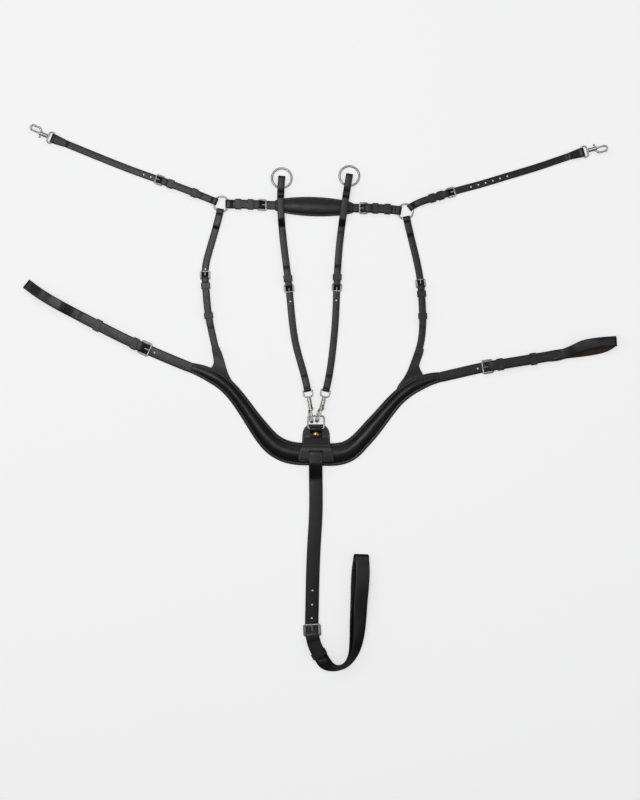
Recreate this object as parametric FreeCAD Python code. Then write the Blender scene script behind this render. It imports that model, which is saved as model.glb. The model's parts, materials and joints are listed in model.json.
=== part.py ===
import FreeCAD, Part
import math
import os

from FreeCAD import Placement, Rotation, Vector

# A five-point leather breastplate with a running-martingale fork, laid out flat.
# +Z is up, the floor is z = 0, and the origin is under the middle of the chest piece.
# The neck opening lies towards +Y, the centre girth strap towards -Y.

# ---- overall size ----
overall_width = 1098.0          # from snap tip to the end of the right girth loop
overall_length = 940.0          # from the martingale rings to the bottom girth loop
drawn_width = 1098.0            # the size at which the routes below are written
drawn_length = 940.0

# ---- leather ----
skive = 1.4                     # thickness of leather thinned to fold round metal
lining_leather = 1.6
patch_leather = 2.6
tab_leather = 1.8
gap = 0.2                       # clearance between leather and the metal it holds
ply_gap = 0.15                  # clearance between straps that lie on each other
hole_radius = 1.5               # punched adjusting holes
nose_inset = 0.3                # a fold is pressed this much narrower than its strap
nose_press = 0.05               # and this much flatter on each side
keeper_leather = 1.3
keeper_length = 11.0
keeper_side = 0.5               # clearance of a keeper beside the strap
side_play = 0.7                 # clearance of a buckle beside the strap
ring_play = 1.0                 # room for a ring along the strap that is folded round it
tip_length = 9.0                # pointed end of a billet
facet = 12.0                    # longest straight step along a curved strap

# ---- chest piece ----
chest_mid_width = 42.5
chest_height = 8.6              # top of the crown above the floor
chest_edge = 3.6                # top of the outer leather at its edge
pad_margin = 3.2                # how far the padding stays inside the edge
pad_cover = 2.2                 # outer leather over the padding

# ---- wither pad ----
wither_pad_width = 35.5
wither_pad_height = 8.0

# ---- rings ----
neck_ring_radius = 14.0         # to the middle of the wire
neck_ring_wire = 3.0
martingale_ring_radius = 18.2
martingale_ring_wire = 3.8
chest_ring_wire = 3.4
chest_ring_half = 14.8          # half width to the middle of the wire
chest_ring_reach = 23.3         # bottom bar to top bar

# ---- snaps ----
snap_eye_wire = 2.6
snap_barrel_radius = 3.6
snap_rod = 1.8                  # radius of the hook
snap_bolt = 1.5                 # radius of the sliding bolt
saddle_snap_offset = 9.5        # bolt axis to the middle of the hook's side
fork_snap_offset = 8.5
fork_snap_slack = 7.0           # from the ring's bar to the bend of the hook
bolt_travel = 5.0


class StrapSize:
    def __init__(self, width, leather, wire, reach, pin):
        self.width = width              # of the strap
        self.leather = leather
        self.wire = wire                # diameter of the buckle's wire
        self.reach = reach              # heel bar to far bar
        self.pin = pin                  # radius of the tongue
        self.fold = 2 * skive + 2 * gap + wire          # height of the fold round the heel bar
        self.far_height = leather + gap + wire / 2      # far bar above the floor
        self.rise = self.far_height - self.fold / 2


narrow = StrapSize(13.0, 2.4, 2.4, 14.0, 1.0)
fork = StrapSize(13.0, 2.4, 2.4, 12.5, 1.0)
wither = StrapSize(16.0, 2.4, 2.4, 14.0, 1.0)
side_girth = StrapSize(19.0, 3.0, 3.0, 18.5, 1.2)
centre_girth = StrapSize(25.0, 3.0, 3.4, 20.0, 1.3)


def lay(x, y, z=0.0):
    return Vector(x * overall_width / drawn_width, y * overall_length / drawn_length, z)


class Route:
    """A smooth line on the floor that a strap follows, measured from its first point."""

    def __init__(self, points):
        self.curve = Part.BSplineCurve()
        self.curve.interpolate([lay(x, y) for x, y in points])
        self.edge = self.curve.toShape()
        self.length = self.edge.Length

    def near(self, x, y):
        return self.curve.length(self.curve.FirstParameter, self.curve.parameter(lay(x, y)))

    def frame(self, distance, height=0.0, backwards=False):
        inside = min(max(distance, 0.0), self.length)
        parameter = self.edge.getParameterByLength(inside)
        along = self.edge.tangentAt(parameter)
        place = self.edge.valueAt(parameter) + along * (distance - inside) + Vector(0, 0, height)
        turn = math.degrees(math.atan2(along.y, along.x)) + (180.0 if backwards else 0.0)
        return Placement(place, Rotation(Vector(0, 0, 1), turn))


def put(frame, shape):
    moved = shape.copy()
    moved.Placement = frame.multiply(moved.Placement)
    return moved


def joined(first, *others):
    return first.fuse(list(others)).removeSplitter()


def group(*shapes):
    return Part.makeCompound([solid for shape in shapes for solid in shape.Solids])


def filled(stations):
    """The stations with more put between them, so that no step is longer than a facet."""
    stations = sorted(stations)
    full = [stations[0]]
    for before, after in zip(stations, stations[1:]):
        steps = max(1, math.ceil((after[0] - before[0]) / facet))
        for step in range(1, steps + 1):
            share = step / steps
            full.append(tuple(a + (b - a) * share for a, b in zip(before, after)))
    return full


def level(stations, distance):
    """Underside, top and width of a strap at a distance along its route."""
    stations = sorted(stations)
    for before, after in zip(stations, stations[1:]):
        if before[0] <= distance <= after[0] and after[0] > before[0]:
            share = (distance - before[0]) / (after[0] - before[0])
            return tuple(a + (b - a) * share for a, b in zip(before[1:], after[1:]))
    return stations[0][1:] if distance < stations[0][0] else stations[-1][1:]


def loft(route, stations, section):
    wires = []
    for distance, *sizes in filled(stations):
        frame = route.frame(distance)
        corners = [frame.multVec(Vector(0, y, z)) for y, z in section(*sizes)]
        wires.append(Part.makePolygon(corners + corners[:1]))
    return Part.makeLoft(wires, True, True)


def flat_section(low, high, width):
    return [(-width / 2, low), (width / 2, low), (width / 2, high), (-width / 2, high)]


def crown_section(low, edge, crown, width):
    """A section that rises from its edges to a rounded middle."""
    shape = [(-width / 2, low), (width / 2, low), (width / 2, edge)]
    for share in (0.8, 0.55, 0.25, -0.25, -0.55, -0.8):
        shape.append((share * width / 2, edge + (crown - edge) * (1 - share ** 2)))
    return shape + [(-width / 2, edge)]


def strap(route, stations):
    """Leather along a route; each station is (distance, underside, top, width)."""
    return loft(route, stations, flat_section)


def box(frame, x0, x1, y0, y1, z0, z1):
    return put(frame, Part.makeBox(x1 - x0, y1 - y0, z1 - z0, Vector(x0, y0, z0)))


def cross_bar(frame, x0, x1, z, radius, width):
    """A bar with round edges that lies across the strap."""
    ends = [Part.makeCylinder(radius, width, Vector(x, -width / 2, z), Vector(0, 1, 0)) for x in (x0, x1)]
    if x1 - x0 < 0.01:
        return put(frame, ends[0])
    middle = Part.makeBox(x1 - x0, width, 2 * radius, Vector(x0, -width / 2, z - radius))
    return put(frame, ends[0].fuse([middle, ends[1]]).removeSplitter())


def rod(start, end, radius):
    return Part.makeCylinder(radius, start.distanceToPoint(end), start, end - start)


def bent_wire(corners, radii, wire):
    """A closed loop of round wire through flat corners, each bent to its own radius."""
    count = len(corners)
    arcs = []
    for index, (corner, radius) in enumerate(zip(corners, radii)):
        before = (corners[index - 1] - corner).normalize()
        after = (corners[(index + 1) % count] - corner).normalize()
        half = before.getAngle(after) / 2
        middle = (before + after).normalize()
        reach = radius / math.tan(half)
        bulge = corner + middle * (radius / math.sin(half) - radius)
        arcs.append(Part.Arc(corner + before * reach, bulge, corner + after * reach))
    edges = []
    for index, arc in enumerate(arcs):
        following = arcs[(index + 1) % count]
        edges.append(arc.toShape())
        if arc.EndPoint.distanceToPoint(following.StartPoint) > 0.01:
            edges.append(Part.LineSegment(arc.EndPoint, following.StartPoint).toShape())
    path = Part.Wire(edges)
    start = arcs[0].StartPoint
    along = edges[0].tangentAt(edges[0].FirstParameter)
    ring = Part.Wire([Part.Circle(start, along, wire / 2).toShape()])
    return path.makePipeShell([ring], True, False)


def square_loop(half, reach, wire, heel_radius, far_radius):
    corners = [Vector(0, -half, 0), Vector(reach, -half, 0), Vector(reach, half, 0), Vector(0, half, 0)]
    return bent_wire(corners, [heel_radius, far_radius, far_radius, heel_radius], wire)


class Buckle:
    """A buckle on a route: its heel bar, and beyond it the far bar, forwards or backwards."""

    def __init__(self, route, size, x, y, backwards):
        self.route = route
        self.size = size
        self.way = -1 if backwards else 1
        self.backwards = backwards
        self.heel = route.near(x, y)

    def at(self, step):
        return self.heel + self.way * step

    def frame(self, step=0.0, height=0.0):
        return self.route.frame(self.at(step), height, self.backwards)

    def metal_frame(self):
        """At the heel bar, turned so that the far bar lies square over the billet."""
        heel = self.route.frame(self.heel).Base
        far = self.route.frame(self.at(self.size.reach)).Base
        turn = math.degrees(math.atan2(far.y - heel.y, far.x - heel.x))
        return Placement(heel, Rotation(Vector(0, 0, 1), turn))

    def metal(self):
        """The frame and the tongue, which turns on the heel bar."""
        size = self.size
        half = size.width / 2 + side_play + size.wire / 2
        slant = math.degrees(math.atan2(size.rise, size.reach))
        length = math.hypot(size.rise, size.reach)
        tilt = Placement(Vector(0, 0, size.fold / 2), Rotation(Vector(0, 1, 0), -slant))
        frame = put(tilt, square_loop(half, length, size.wire, 2.0, size.wire * 0.95))
        curl = Part.makeCylinder(size.wire / 2 + 1.15, 2 * size.pin, Vector(0, -size.pin, size.fold / 2),
                                 Vector(0, 1, 0))
        pin = rod(*self.pin_line(), size.pin)
        round_tip = Part.makeSphere(size.pin, self.pin_line()[1])
        clear = Part.makeCylinder(size.wire / 2 + 0.1, 8 * size.pin, Vector(0, -4 * size.pin, size.fold / 2),
                                  Vector(0, 1, 0))
        tongue = curl.fuse([pin, round_tip]).cut(clear)
        place = self.metal_frame()
        return group(put(place, frame), put(place, tongue))

    def pin_line(self):
        size = self.size
        start = Vector(0.5, 0, size.fold / 2 + size.wire / 2 + 0.6)
        end = Vector(size.reach + 1.2, 0, size.far_height + size.wire / 2 + size.pin + 0.2)
        return start, end

    def billet_stations(self, tip, width=None):
        """The strap that comes from beyond the far bar, over the heel and on to its tip."""
        size = self.size
        width = width or size.width
        over = size.fold + ply_gap
        upon = 2 * size.leather + ply_gap
        rows = [(size.reach - 0.3, 0.0, width), (1.0, over, width), (-5.0, over, width), (-11.0, upon, width),
                (-tip + tip_length, upon, width), (-tip + tip_length / 3, upon, width * 0.6),
                (-tip, upon, width * 0.2)]
        return [(self.at(step), low, low + size.leather, wide) for step, low, wide in rows]

    def billet_cuts(self, steps):
        """The hole that the tongue stands in, and the punched holes."""
        size = self.size
        start, end = self.pin_line()
        cuts = [put(self.metal_frame(), rod(start, end, size.pin + 0.3))]
        for step in steps:
            cuts.append(put(self.frame(step, -1.0), Part.makeCylinder(hole_radius, 16.0)))
        return cuts

    def chape_stations(self, doubled=None):
        """The strap folded round the heel bar and sewn to itself."""
        size = self.size
        rows = [(0.0, size.fold), (-4.5, size.fold), (-10.0, 2 * size.leather)]
        if doubled:
            rows += [(-doubled, 2 * size.leather), (-doubled - 6.0, size.leather)]
        return [(self.at(step), 0.0, high, size.width) for step, high in rows]

    def chape_nose(self):
        middle = self.size.fold / 2
        return cross_bar(self.metal_frame(), 0, 0, middle, middle - nose_press, self.size.width - nose_inset)

    def chape_cuts(self):
        """The eye for the heel bar, and the slot for the tongue."""
        size = self.size
        reach = size.fold / 2 + 1.5
        half = size.pin + 0.5
        place = self.metal_frame()
        return [cross_bar(place, 0, 0, size.fold / 2, size.wire / 2 + gap, size.width + 2),
                box(place, -reach, reach, -half, half, -1.0, size.fold + 1.0)]

    def keeper(self, step, billet):
        """A leather loop sewn between the layers of the chape, round the billet."""
        size = self.size
        half = keeper_length / 2
        inner = size.width / 2 + keeper_side
        outer = inner + keeper_leather
        tops = [level(billet, self.at(step + side))[1] for side in (-half, 0, half)]
        top = max(tops) + gap
        low = size.leather - keeper_leather / 2
        frame = self.frame(step)
        ring = box(frame, -half, half, -outer, outer, low, top + keeper_leather)
        return ring.cut(box(frame, -half - 1, half + 1, -inner, inner, low + keeper_leather, top))


class Eye:
    """A strap end folded round a ring or bar and sewn: nose, eye and the layers beside it."""

    def __init__(self, route, width, leather, start, end, bar, backwards=False, head=0.0, base=0.0):
        self.route = route
        self.width = width
        self.leather = leather
        self.way = -1 if backwards else 1
        self.backwards = backwards
        self.start = start              # the eye runs from start to end, along the strap
        self.end = end
        self.base = base                # underside of the fold above the floor
        self.radius = (bar + head) / 2 + gap
        self.height = 2 * skive + 2 * self.radius

    def stations(self, doubled=None):
        step = self.way
        rows = [(self.start, self.base, self.height), (self.end + step * 1.5, self.base, self.height),
                (self.end + step * 5.5, self.base * 0.7, 2 * self.leather)]
        if doubled:
            rows += [(self.end + step * doubled, 0.0, 2 * self.leather),
                     (self.end + step * (doubled + 6), 0.0, self.leather)]
        return [(distance, low, low + thick, self.width) for distance, low, thick in rows]

    def nose(self):
        frame = self.route.frame(self.start, self.base, self.backwards)
        middle = self.height / 2
        return cross_bar(frame, 0, 0, middle, middle - nose_press, self.width - nose_inset)

    def cut(self):
        frame = self.route.frame(self.start, self.base, self.backwards)
        length = abs(self.end - self.start)
        return cross_bar(frame, 0, length, self.height / 2, self.radius, self.width + 6)


def ring_eye(route, width, leather, radius, wire, head=0.0, slack=0.0, at=0.0):
    """The eye of a strap that starts at a ring, whose middle is at a distance along the route."""
    inner = at + math.sqrt(radius ** 2 - (width / 2) ** 2) - ring_play - slack
    return Eye(route, width, leather, inner, at + radius + ring_play, wire, head=head)


# ---- routes, by hand, in the lay-out ----
wither_route = Route([(-174, 462), (-130, 461.5), (-99, 460.5), (-56, 459), (17, 456.5), (82, 454.5),
                      (152, 450.5), (166, 448)])
neck_left_route = Route([(-174, 462), (-183, 422), (-196, 377), (-204, 338), (-203, 311), (-199, 266),
                         (-191, 222), (-184, 192)])
neck_right_route = Route([(166, 448), (174, 411), (185, 366), (193.5, 322), (197, 278), (198, 238),
                          (195, 208), (188, 184)])
saddle_left_route = Route([(-174, 462), (-214, 478.5), (-273, 501), (-332, 522), (-391, 545), (-450, 569),
                           (-486, 583.5)])
saddle_right_route = Route([(166, 448), (182, 460), (221, 474.5), (258, 486), (297, 496.5), (356, 514),
                            (415, 532), (462, 548), (494, 558)])
fork_left_route = Route([(-62.5, 510), (-62, 420), (-57.5, 377), (-49.5, 312), (-44, 255), (-36, 201),
                         (-21.5, 148), (-14.8, 118)])
fork_right_route = Route([(62.5, 514), (56.5, 478), (50, 433), (43.5, 378), (39.5, 312), (36.5, 244),
                          (31.5, 190), (25.5, 147), (19.3, 118)])
left_girth_route = Route([(-230, 159.5), (-273, 177), (-332, 203), (-391, 232), (-450, 262.5), (-510, 297),
                          (-535, 315.5)])
right_girth_route = Route([(230, 142), (267, 150.5), (312, 160.5), (356, 168), (401, 175.5), (460, 185.5)])
centre_girth_route = Route([(0.5, 4), (0.5, -46), (0.5, -110), (-2, -155), (-5, -222), (-6.5, -289),
                            (-6.5, -325), (-3.5, -346), (3, -362.5), (12, -378)])
chest_route = Route([(-230, 159.5), (-192.5, 145), (-167.5, 128.5), (-143.5, 102.5), (-121, 71), (-99, 40.5),
                     (-77, 17), (-54.5, 5), (-32, 0.5), (0, 0), (38, -0.5), (60, 5.5), (82, 23), (104.5, 48),
                     (127, 75), (149, 100.5), (175, 121.5), (193.5, 131.5), (230, 142)])

parts = {}


# ---- chest piece ----
def chest_widths():
    """(distance, width) along the chest piece: narrow tips, slim arms, wide middle."""
    tips = side_girth.width
    arms = 28.5
    places = [((-230, 159.5), tips), ((-210, 152), 24.0), ((-190, 144), 27.5), ((-143.5, 102.5), arms),
              ((-121, 71), 31.0), ((-99, 40.5), 36.0), ((-77, 17), 39.5), ((-54.5, 5), 41.5),
              ((0, 0), chest_mid_width), ((38, -0.5), 42.0), ((60, 5.5), 40.0), ((82, 23), 35.5),
              ((104.5, 48), 34.5), ((127, 75), 30.5), ((149, 100.5), 28.0), ((193.5, 131.5), 27.0),
              ((215.5, 138), 22.5), ((230, 142), tips)]
    return [(chest_route.near(*place), width) for place, width in places]


def branch(points, low, high):
    """The flat leather that runs from the chest piece up to a neck strap."""
    left, right = points
    sides = []
    for side in (left, right):
        curve = Part.BSplineCurve()
        curve.interpolate([lay(x, y, low) for x, y in side])
        sides.append(curve.toShape())
    ends = [Part.LineSegment(lay(*left[0], low), lay(*right[0], low)).toShape(),
            Part.LineSegment(lay(*left[-1], low), lay(*right[-1], low)).toShape()]
    face = Part.Face(Part.Wire(Part.__sortEdges__(sides + ends)))
    return face.extrude(Vector(0, 0, high - low))


left_branch = ([(-192, 199), (-188.5, 175), (-189, 166), (-196, 156), (-190, 140)],
               [(-178.5, 199), (-169, 174), (-157, 140), (-148, 124), (-150, 110)])
right_branch = ([(187, 199), (177, 172), (163, 141), (150, 121), (150, 108)],
                [(200, 195), (194, 172), (192, 162), (199, 146), (193, 132)])

widths = chest_widths()
crown_rows = []
pad_rows = []
end_distance = chest_route.length
for distance, width in widths:
    from_tip = min(distance, end_distance - distance)
    swell = min(1.0, from_tip / 55.0)
    crown = chest_edge + 0.6 + (chest_height - chest_edge - 0.6) * swell * (width / chest_mid_width)
    crown_rows.append((distance, lining_leather, chest_edge, crown, width - 2.4))
    if from_tip > 30:
        pad_rows.append((distance, lining_leather, lining_leather + 0.6, crown - pad_cover,
                         width - 2.4 - 2 * pad_margin))

level_trim = 0.2                # cut off below, so that the underside is one level face
lining = strap(chest_route, [(distance, -level_trim, lining_leather, width) for distance, width in widths])
body = loft(chest_route, crown_rows, crown_section)
padding = loft(chest_route, pad_rows, crown_section)
branch_top = lining_leather + patch_leather
for sides in (left_branch, right_branch):
    lining = lining.fuse(branch(sides, -level_trim, lining_leather))
    body = body.fuse(branch(sides, lining_leather, branch_top))
lining = lining.cut(Part.makeBox(4000, 4000, 50, Vector(-2000, -2000, -50)))
chest_outer = body.cut(padding)
for route in (left_girth_route, right_girth_route):
    beyond = box(route.frame(0.0), 0.0, 60.0, -40.0, 40.0, -1.0, 40.0)
    lining = lining.cut(beyond)
    chest_outer = chest_outer.cut(beyond)
parts["chest_padding"] = padding

# ---- centre patch, ring and tab ----
patch_outline = [(-32, -14.5), (34, -14.5), (31, 6), (27, 22), (24.5, 44), (13, 55), (-11, 55), (-22.5, 44),
                 (-25, 22), (-29, 6)]
patch_base = chest_height + ply_gap
chest_centre = lay(0, 0)
patch_corners = [chest_centre + Vector(x, y, -1) for x, y in patch_outline + patch_outline[:1]]
patch_face = Part.Face(Part.makePolygon(patch_corners))
patch_side = [(-15, chest_height - 0.6), (-9, patch_base), (9, patch_base), (14, patch_base - 1.0),
              (30, 0.3), (56, 0.3)]
patch_top = [(y, z + patch_leather) for y, z in reversed(patch_side)]
patch_loop = [chest_centre + Vector(-40, y, z) for y, z in patch_side + patch_top + patch_side[:1]]
patch_profile = Part.Face(Part.makePolygon(patch_loop)).extrude(Vector(80, 0, 0))
patch = patch_face.extrude(Vector(0, 0, 40)).common(patch_profile)

ring_y = 47.2
ring_centre_x = 0.9
tab_half = 11.0
tab_floor = 0.3 + patch_leather + ply_gap
tab_fold = 2 * tab_leather + 2 * gap + chest_ring_wire
ring_z = tab_floor + tab_fold / 2
ring_place = chest_centre + Vector(ring_centre_x, ring_y, 0)
ring_frame = Placement(ring_place + Vector(0, 0, ring_z), Rotation(Vector(0, 0, 1), 90))
parts["chest_ring"] = put(ring_frame, square_loop(chest_ring_half, chest_ring_reach, chest_ring_wire, 3.2, 5.0))

tab_frame = Placement(ring_place, Rotation(Vector(0, 0, 1), -90))
tab_length = 16.0
tab_body = box(tab_frame, 0, 4.5, -tab_half, tab_half, tab_floor, tab_floor + tab_fold)
tab_tail = box(tab_frame, 4, tab_length, -tab_half, tab_half, tab_floor, tab_floor + 2 * tab_leather)
tab_nose = cross_bar(tab_frame, 0, 0, ring_z, tab_fold / 2, 2 * tab_half)
tab_eye = cross_bar(tab_frame, 0, 0, ring_z, chest_ring_wire / 2 + gap, 2 * tab_half + 2)
stud_place = tab_frame.multVec(Vector(10.5, 0, 0))
stud_top = tab_floor + 2 * tab_leather
stud_shank = Part.makeCylinder(1.4, stud_top - 0.1, Vector(stud_place.x, stud_place.y, 0.1))
stud_head = Part.makeCylinder(4.2, 1.0, Vector(stud_place.x, stud_place.y, stud_top))
stud_dome = Part.makeSphere(9.0, Vector(stud_place.x, stud_place.y, stud_top + 1.0 - 7.9))
stud_dome = stud_dome.common(Part.makeCylinder(4.2, 3.0, Vector(stud_place.x, stud_place.y, stud_top + 0.9)))
stud = stud_shank.fuse([stud_head, stud_dome]).removeSplitter()
tab = joined(tab_body, tab_tail, tab_nose).cut(tab_eye).cut(stud_shank)
parts["ring_tab"] = tab
parts["emblem_stud"] = stud
parts["centre_patch"] = patch.cut(stud_shank)


# ---- wither pad and its strap ----
pad_ends = (-74.5, 68.5)
pad_start = wither_route.near(pad_ends[0], 459)
pad_end = wither_route.near(pad_ends[1], 455)
pad_length = pad_end - pad_start
pad_low = wither.leather + ply_gap + lining_leather


def pad_width(share):
    return wither.width + 1 + (wither_pad_width - wither.width - 1) * math.sin(math.pi * share) ** 0.6


pad_shares = [0.0, 0.06, 0.15, 0.3, 0.5, 0.7, 0.85, 0.94, 1.0]
pad_under = []
pad_outer = []
pad_inner = []
for share in pad_shares:
    distance = pad_start + share * pad_length
    width = pad_width(share)
    rise = math.sin(math.pi * share) ** 0.5
    crown = pad_low + 2.4 + (wither_pad_height - pad_low - 2.4) * rise
    pad_under.append((distance, pad_low - lining_leather, pad_low, width))
    pad_outer.append((distance, pad_low, pad_low + 1.6, crown, width))
    if 0.1 < share < 0.9:
        pad_inner.append((distance, pad_low, pad_low + 0.4, crown - 1.5, width - 2 * pad_margin))
parts["wither_pad_lining"] = strap(wither_route, pad_under)
parts["wither_pad_padding"] = loft(wither_route, pad_inner, crown_section)
pad_body = loft(wither_route, pad_outer, crown_section)
parts["wither_pad_outer"] = pad_body.cut(parts["wither_pad_padding"])

wither_left = Buckle(wither_route, wither, -105.5, 461, False)
wither_right = Buckle(wither_route, wither, 95.5, 454, True)
left_stations = wither_left.billet_stations(47.0)
right_stations = wither_right.billet_stations(47.0)
wither_strap = strap(wither_route, left_stations + right_stations)
for buckle in (wither_left, wither_right):
    for cut in buckle.billet_cuts((-26.0,)):
        wither_strap = wither_strap.cut(cut)
parts["wither_strap"] = wither_strap


def sewn_strap(route, stations, noses, cuts):
    shape = strap(route, stations)
    for nose in noses:
        shape = shape.fuse(nose)
    for cut in cuts:
        shape = shape.cut(cut)
    return shape


def chape_with_keepers(buckle, billet, steps, stations, noses, cuts):
    keepers = [buckle.keeper(step, billet) for step in steps]
    shape = sewn_strap(buckle.route, stations, noses, list(cuts) + keepers)
    return group(shape, *keepers)


far_ring = wither_route.length
left_eye = ring_eye(wither_route, wither.width, wither.leather, neck_ring_radius, neck_ring_wire)
right_eye = Eye(wither_route, wither.width, wither.leather, far_ring - left_eye.start, far_ring - left_eye.end,
                neck_ring_wire, backwards=True)
for side, buckle, eye, stations in (("left", wither_left, left_eye, left_stations),
                                    ("right", wither_right, right_eye, right_stations)):
    rows = buckle.chape_stations() + eye.stations()
    parts["wither_chape_" + side] = chape_with_keepers(
        buckle, stations, (-14.5, -37.0), rows, [buckle.chape_nose(), eye.nose()],
        buckle.chape_cuts() + [eye.cut()])
parts["wither_buckles"] = group(wither_left.metal(), wither_right.metal())


# ---- neck rings and neck straps ----
ring_height = skive + gap + neck_ring_wire / 2


def ring(centre, radius, wire):
    return Part.makeTorus(radius, wire / 2, centre, Vector(0, 0, 1))


def neck_strap(side, route, heel, keeper_steps, tip, holes):
    buckle = Buckle(route, narrow, *heel, True)
    eye = ring_eye(route, narrow.width, narrow.leather, neck_ring_radius, neck_ring_wire)
    billet = buckle.billet_stations(tip) + eye.stations(26.0)
    parts["neck_billet_" + side] = sewn_strap(route, billet, [eye.nose()], buckle.billet_cuts(holes) + [eye.cut()])
    end = route.length
    rows = buckle.chape_stations(-keeper_steps[-1] + 12.0) + [(end, 0.0, narrow.leather, narrow.width)]
    parts["neck_chape_" + side] = chape_with_keepers(buckle, billet, keeper_steps, rows, [buckle.chape_nose()],
                                                     buckle.chape_cuts())
    return buckle.metal()


parts["neck_ring_left"] = ring(lay(-174, 462, ring_height), neck_ring_radius, neck_ring_wire)
parts["neck_ring_right"] = ring(lay(166, 448, ring_height), neck_ring_radius, neck_ring_wire)
parts["neck_buckles"] = group(
    neck_strap("left", neck_left_route, (-203.5, 323.5), (-13.0, -68.0), 92.0, (18.5, -6.5, -20.5, -35.0, -49.0)),
    neck_strap("right", neck_right_route, (194.5, 308.5), (-13.0, -54.0), 76.0, (-6.5, -20.5, -35.0)))


for side in ("left", "right"):
    let_in = parts["neck_chape_" + side]
    lining = lining.cut(let_in)
    chest_outer = chest_outer.cut(let_in)
parts["chest_lining"] = lining
parts["chest_outer"] = chest_outer


# ---- snaps ----
def snap(eye_half, eye_reach, barrel, bend, offset):
    """A bolt snap along +X from the bar of its eye: eye, hook, bolt and spring as separate pieces.

    The hook turns back to the bolt at bend.
    """
    x_axis = Vector(1, 0, 0)
    start = eye_reach + snap_eye_wire / 2 + 0.6         # back of the barrel
    front = start + barrel
    stem_end = start + 4.6
    loop = square_loop(eye_half, eye_reach, snap_eye_wire, 1.8, min(eye_half, eye_reach) * 0.6)
    stem = Part.makeCylinder(1.5, stem_end - eye_reach, Vector(eye_reach, 0, 0), x_axis)
    head = Part.makeCylinder(2.2, 1.2, Vector(stem_end - 1.2, 0, 0), x_axis)
    eye = joined(loop, stem, head)

    shell = Part.makeCylinder(snap_barrel_radius, barrel, Vector(start, 0, 0), x_axis)
    shell = shell.makeFillet(0.9, shell.Edges[0:1] + shell.Edges[2:3])
    root = Part.BezierCurve()
    root.setPoles([Vector(front - 6, -1.6, 0), Vector(front - 2, -2.4, 0), Vector(front - 1, -offset, 0),
                   Vector(front + 4, -offset, 0)])
    side = Part.LineSegment(Vector(front + 4, -offset, 0), Vector(bend, -offset, 0))
    turn = Part.Arc(Vector(bend, -offset, 0), Vector(bend + offset / 2, -offset / 2, 0), Vector(bend, 0, 0))
    spine = Part.Wire([root.toShape(), side.toShape(), turn.toShape()])
    section = Part.Circle(Vector(front - 6, -1.6, 0), Vector(4, -0.8, 0), snap_rod)
    arm = spine.makePipeShell([Part.Wire([section.toShape()])], True, False)
    hook = joined(shell, arm)
    back = start + 5.6                                  # ends of the bolt's chamber
    stop = front - 2.0
    knob = stop - 1.4
    for radius, begin, length in ((1.65, start - 1.0, 5.0), (2.4, start + 3.0, 2.0), (2.4, back, stop - back),
                                  (snap_bolt + 0.12, stop - 1.0, 5.0)):
        hook = hook.cut(Part.makeCylinder(radius, length, Vector(begin, 0, 0), x_axis))
    hook = hook.cut(Part.makeBox(bolt_travel + 3.0, 6.0, 2.8, Vector(knob - bolt_travel - 1.5, 0, -1.4)))

    rod_end = bend - 0.3
    bolt = joined(Part.makeCylinder(snap_bolt, rod_end - stop + 1.0, Vector(stop - 1.0, 0, 0), x_axis),
                  Part.makeCylinder(2.25, 2.6, Vector(stop - 2.7, 0, 0), x_axis),
                  Part.makeCylinder(1.2, 6.4, Vector(knob, 0, 0), Vector(0, 1, 0)),
                  Part.makeSphere(1.9, Vector(knob, 6.6, 0)))
    spring_room = stop - 2.7 - back
    rise = spring_room - 1.0
    helix = Part.makeHelix(rise / 4, rise, 1.7)
    section = Part.Wire([Part.Circle(Vector(1.7, 0, 0), Vector(0, 1, 0), 0.4).toShape()])
    coil = Part.Wire(helix.Edges).makePipeShell([section], True, True)
    coil = put(Placement(Vector(back + 0.5, 0, 0), Rotation(Vector(0, 1, 0), 90)), coil)
    return {"eye": eye, "hook": hook, "bolt": bolt, "spring": coil}


def place_snap(name, pieces, frame, roll):
    """The eye lies flat; the hook body may be turned on its swivel."""
    turned = frame.multiply(Placement(Vector(), Rotation(Vector(1, 0, 0), roll)))
    side = name.split("_")[-1]
    kind = name.rsplit("_", 1)[0]
    parts[kind + "_snap_eye_" + side] = put(frame, pieces["eye"])
    for piece in ("hook", "bolt", "spring"):
        parts[kind + "_snap_" + piece + "_" + side] = put(turned, pieces[piece])


# ---- saddle straps ----
snap_bar_height = skive + gap + snap_eye_wire / 2
saddle_end_width = 17.0


def saddle_strap(side, route, heel, keeper_steps, tip, holes, roll):
    buckle = Buckle(route, narrow, *heel, False)
    eye = ring_eye(route, narrow.width, narrow.leather, neck_ring_radius, neck_ring_wire)
    end = route.length
    snap_eye = Eye(route, saddle_end_width, narrow.leather, end, end, snap_eye_wire, backwards=True)
    sewn = snap_eye.stations(26.0)
    sewn[-2] = (sewn[-2][0], 0.0, sewn[-2][2], narrow.width)
    sewn[-1] = (sewn[-1][0], 0.0, sewn[-1][2], narrow.width)
    billet = buckle.billet_stations(tip) + sewn
    parts["saddle_billet_" + side] = sewn_strap(route, billet, [snap_eye.nose()],
                                                buckle.billet_cuts(holes) + [snap_eye.cut()])
    rows = buckle.chape_stations() + eye.stations()
    parts["saddle_chape_" + side] = chape_with_keepers(buckle, billet, keeper_steps, rows,
                                                       [buckle.chape_nose(), eye.nose()],
                                                       buckle.chape_cuts() + [eye.cut()])
    parts["saddle_buckle_" + side] = buckle.metal()
    pieces = snap(saddle_end_width / 2 + 1.8, 8.5, 16.0, 39.6, saddle_snap_offset)
    pitch = Rotation(Vector(0, 1, 0), -7.0)
    frame = route.frame(end, snap_bar_height).multiply(Placement(Vector(), pitch))
    place_snap("saddle_" + side, pieces, frame, roll)


saddle_left_heel = (-282, 504.5)
saddle_right_heel = (243.5, 481.5)
saddle_strap("left", saddle_left_route, saddle_left_heel, (-15.0, -62.0), 78.0, (24.0, 38.0, -30.0, -44.0), 0.0)
saddle_strap("right", saddle_right_route, saddle_right_heel, (-13.0, -29.0), 62.0,
             (46.0, 60.0, 74.0, 88.0, 102.0, 116.0), 0.0)


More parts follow.
